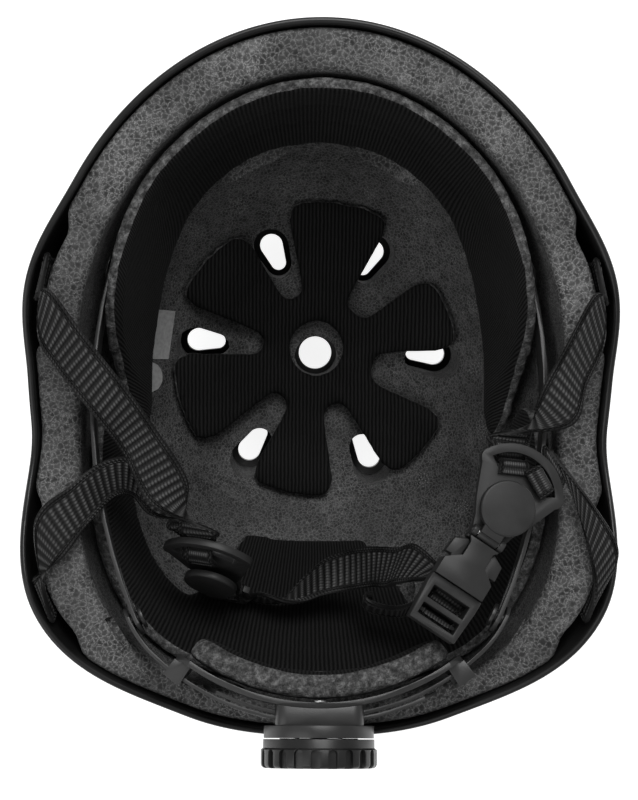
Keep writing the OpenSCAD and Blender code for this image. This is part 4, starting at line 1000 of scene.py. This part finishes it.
nylon_web, tree, shader = new_material("nylon_webbing", (0.03, 0.03, 0.03), 0.5)
place = add(tree, "TexCoord").outputs["Object"]
along = add(tree, "Attribute", {"attribute_name": "along"}).outputs["Fac"]
across = add(tree, "Attribute", {"attribute_name": "across"}).outputs["Fac"]
threads = add(tree, "Math", {"operation": "MULTIPLY"}, i0=across, i1=2 * pi / thread_w).outputs[0]
twist = add(tree, "Math", {"operation": "MULTIPLY_ADD"}, i0=along, i1=0.4, i2=threads).outputs[0]
yarn = add(tree, "Math", {"operation": "SINE"}, i0=twist).outputs[0]
fuzz = add(tree, "TexNoise", Vector=place, Scale=1500.0, Detail=3.0).outputs["Fac"]
wear = add(tree, "TexNoise", Vector=place, Scale=70.0, Detail=4.0).outputs["Fac"]
yarn01 = add(tree, "Math", {"operation": "MULTIPLY_ADD"}, i0=yarn, i1=0.5, i2=0.5).outputs[0]
# Painted highlight and shade: the weave's crest height makes the tops of ribs and stitches up to
# thirty times lighter than the grooves and hems; the wear noise is random tone
crest = add(tree, "Attribute", {"attribute_name": "crest"}).outputs["Fac"]
crest_shade_and_wear = add(tree, "MixRGB", {"blend_type": "MULTIPLY"}, i0=1.0,
           i1=ramp_node(tree, crest, [[0.15, 0.003], [0.6, 0.03], [0.95, 0.1]]),
           i2=ramp_node(tree, wear, [[0.3, 0.6], [0.7, 1.0]])).outputs[0]
# Painted shade between the threads: the colour falls to about a quarter where the threads' bump
# dips
shaded_weave_colour = add(tree, "MixRGB", {"blend_type": "MULTIPLY"}, i0=0.85, i1=crest_shade_and_wear,
                  i2=ramp_node(tree, yarn01, [[0.1, 0.12], [0.8, 1.0]])).outputs[0]
tree.links.new(shaded_weave_colour, shader.inputs["Base Color"])
both = add(tree, "MixRGB", {"blend_type": "ADD"}, i0=0.6, i1=yarn01, i2=fuzz).outputs[0]
bumped(tree, shader, 0.5, 0.00015, both)
shader.inputs["Specular IOR Level"].default_value = 0.25
shader.inputs["Sheen Weight"].default_value = 0.03


def free(stops):
    """Stops in the open, each as centre and half width."""
    return [(Vector(c), Vector(h)) for c, h in stops]


left_front = webbing_piece("strap_left_front", pocket_stops(200, 15) + free(
    [((-98, -26, 148), (-2, 7.5, 1)), ((-90, -8, 148), (-4, 6.5, 1)),
     ((-83, 8, 147), (-5.5, 5.5, 1))])
    + fan_stops(0, -28, 0, buckle_at, buckle_turns), nylon_web)
left_rear = webbing_piece("strap_left_rear", pocket_stops(143, 16) + free(
    [((-101, 60, 153.5), (-4, -6.5, 0))])
    + fan_stops(1, 28, 0.5, buckle_at, buckle_turns), nylon_web)
right_front = webbing_piece("strap_right_front", pocket_stops(-20, 15) + free(
    [((98, -26, 148), (-2, -7.5, -1)), ((89, -12, 147.5), (-5, -6, 0)), ((75, 6, 146), (-5, -6, 0)),
     ((65, 20.5, 142), (-6, -4.5, 1)), ((54, 40, 140), (-6.5, -4, -1))])
    + fan_stops(1, -6, 1, divider_at, divider_turns), nylon_web)
right_rear = webbing_piece("strap_right_rear", pocket_stops(37, 16) + free(
    [((96, 55, 153.5), (5, -6, 0)), ((85, 42, 152), (3, -7, 1)), ((75, 34, 144), (1, -7, 2)),
     ((66, 35, 136.5), (-2, -7, 2)), ((55, 44, 134.5), (-6, -5, 0))])
    + fan_stops(0, -22, 1, divider_at, divider_turns), nylon_web)
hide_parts("webbing_left")
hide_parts("webbing_left")
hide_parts("webbing_right")
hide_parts("webbing_right")
for strap in (left_front, left_rear, right_front, right_rear):
    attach(strap, "helmet")

# ---------------------------------------------------------------- Chin strap
# It loops round the divider's bar, hangs in a curve inside the nape, and is folded through the
# buckle's male half. Its free end lies beside the buckle with its hem rolled over.
bar_u = 20.3
over = fan_t / 2 + web_t / 2 + 0.3
chin_route = free([((31.5, 86.5, 96), (-5.5, 1, 5.5)), ((26, 86.4, 96.7), (-3, -2, 7)),
                   ((20, 87, 99.7), (0, -3, 7)), ((12, 87, 102), (0, -1, 7.5)),
                   ((5, 83, 102), (0, 3, 7)),
                   ((-3, 77.5, 104), (0, 6, 5)), ((-12, 74, 108), (0, 7.5, 2)),
                   ((-20, 71, 116), (0, 7.7, 0)), ((-27, 69, 127), (2, 7.5, 0)),
                   ((-33, 66, 138), (4, 6.5, 1))])
chin_route = [(c, h.normalized() * (web_w / 2)) for c, h in chin_route]
loop = [(bar_u + 3, -over), (bar_u - 1, -over), (bar_u - 3.2, -1.2),
        (bar_u - 3.2, 1.2), (bar_u - 1, over), (bar_u + 3, over + 0.2)]
loop_half = turned((0, web_w / 2, 0), divider_turns)
chin_stops = [(divider_at + turned((u, 0, n), divider_turns), loop_half) for u, n in loop]
chin_stops += chin_route
folded = [(33, -5.8), (40, -4.9), (44, -4.0), (45.3, -1.8), (45.4, 1)]
folded_half = turned((0, -web_w / 2 + 0.6, 0), buckle_turns)
chin_stops += [(buckle_at + turned((u, 0, n), buckle_turns), folded_half) for u, n in folded]
chin = webbing_piece("chin_strap_woven", chin_stops, nylon_web)
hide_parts("chin_strap")
tail_stops = free([((-37, 78.5, 146), (1, 5, -4)), ((-34.5, 81, 140), (1, 4.2, -6)),
                   ((-30, 84.5, 131), (0, 3.2, -7)), ((-25, 85.6, 125), (0, 3, -7)),
                   ((-20.5, 85.4, 121), (0, 3, -7)), ((-18, 84, 119.5), (0, 3, -7)),
                   ((-18, 82.2, 119.5), (0, 3, -7)), ((-20.2, 81.6, 121), (0, 3, -7))])
tail_stops = [(c, h.normalized() * (web_w / 2)) for c, h in tail_stops]
tail = webbing_piece("chin_strap_tail", tail_stops, nylon_web)
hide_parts("chin_strap")
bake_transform(chin)
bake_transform(tail)
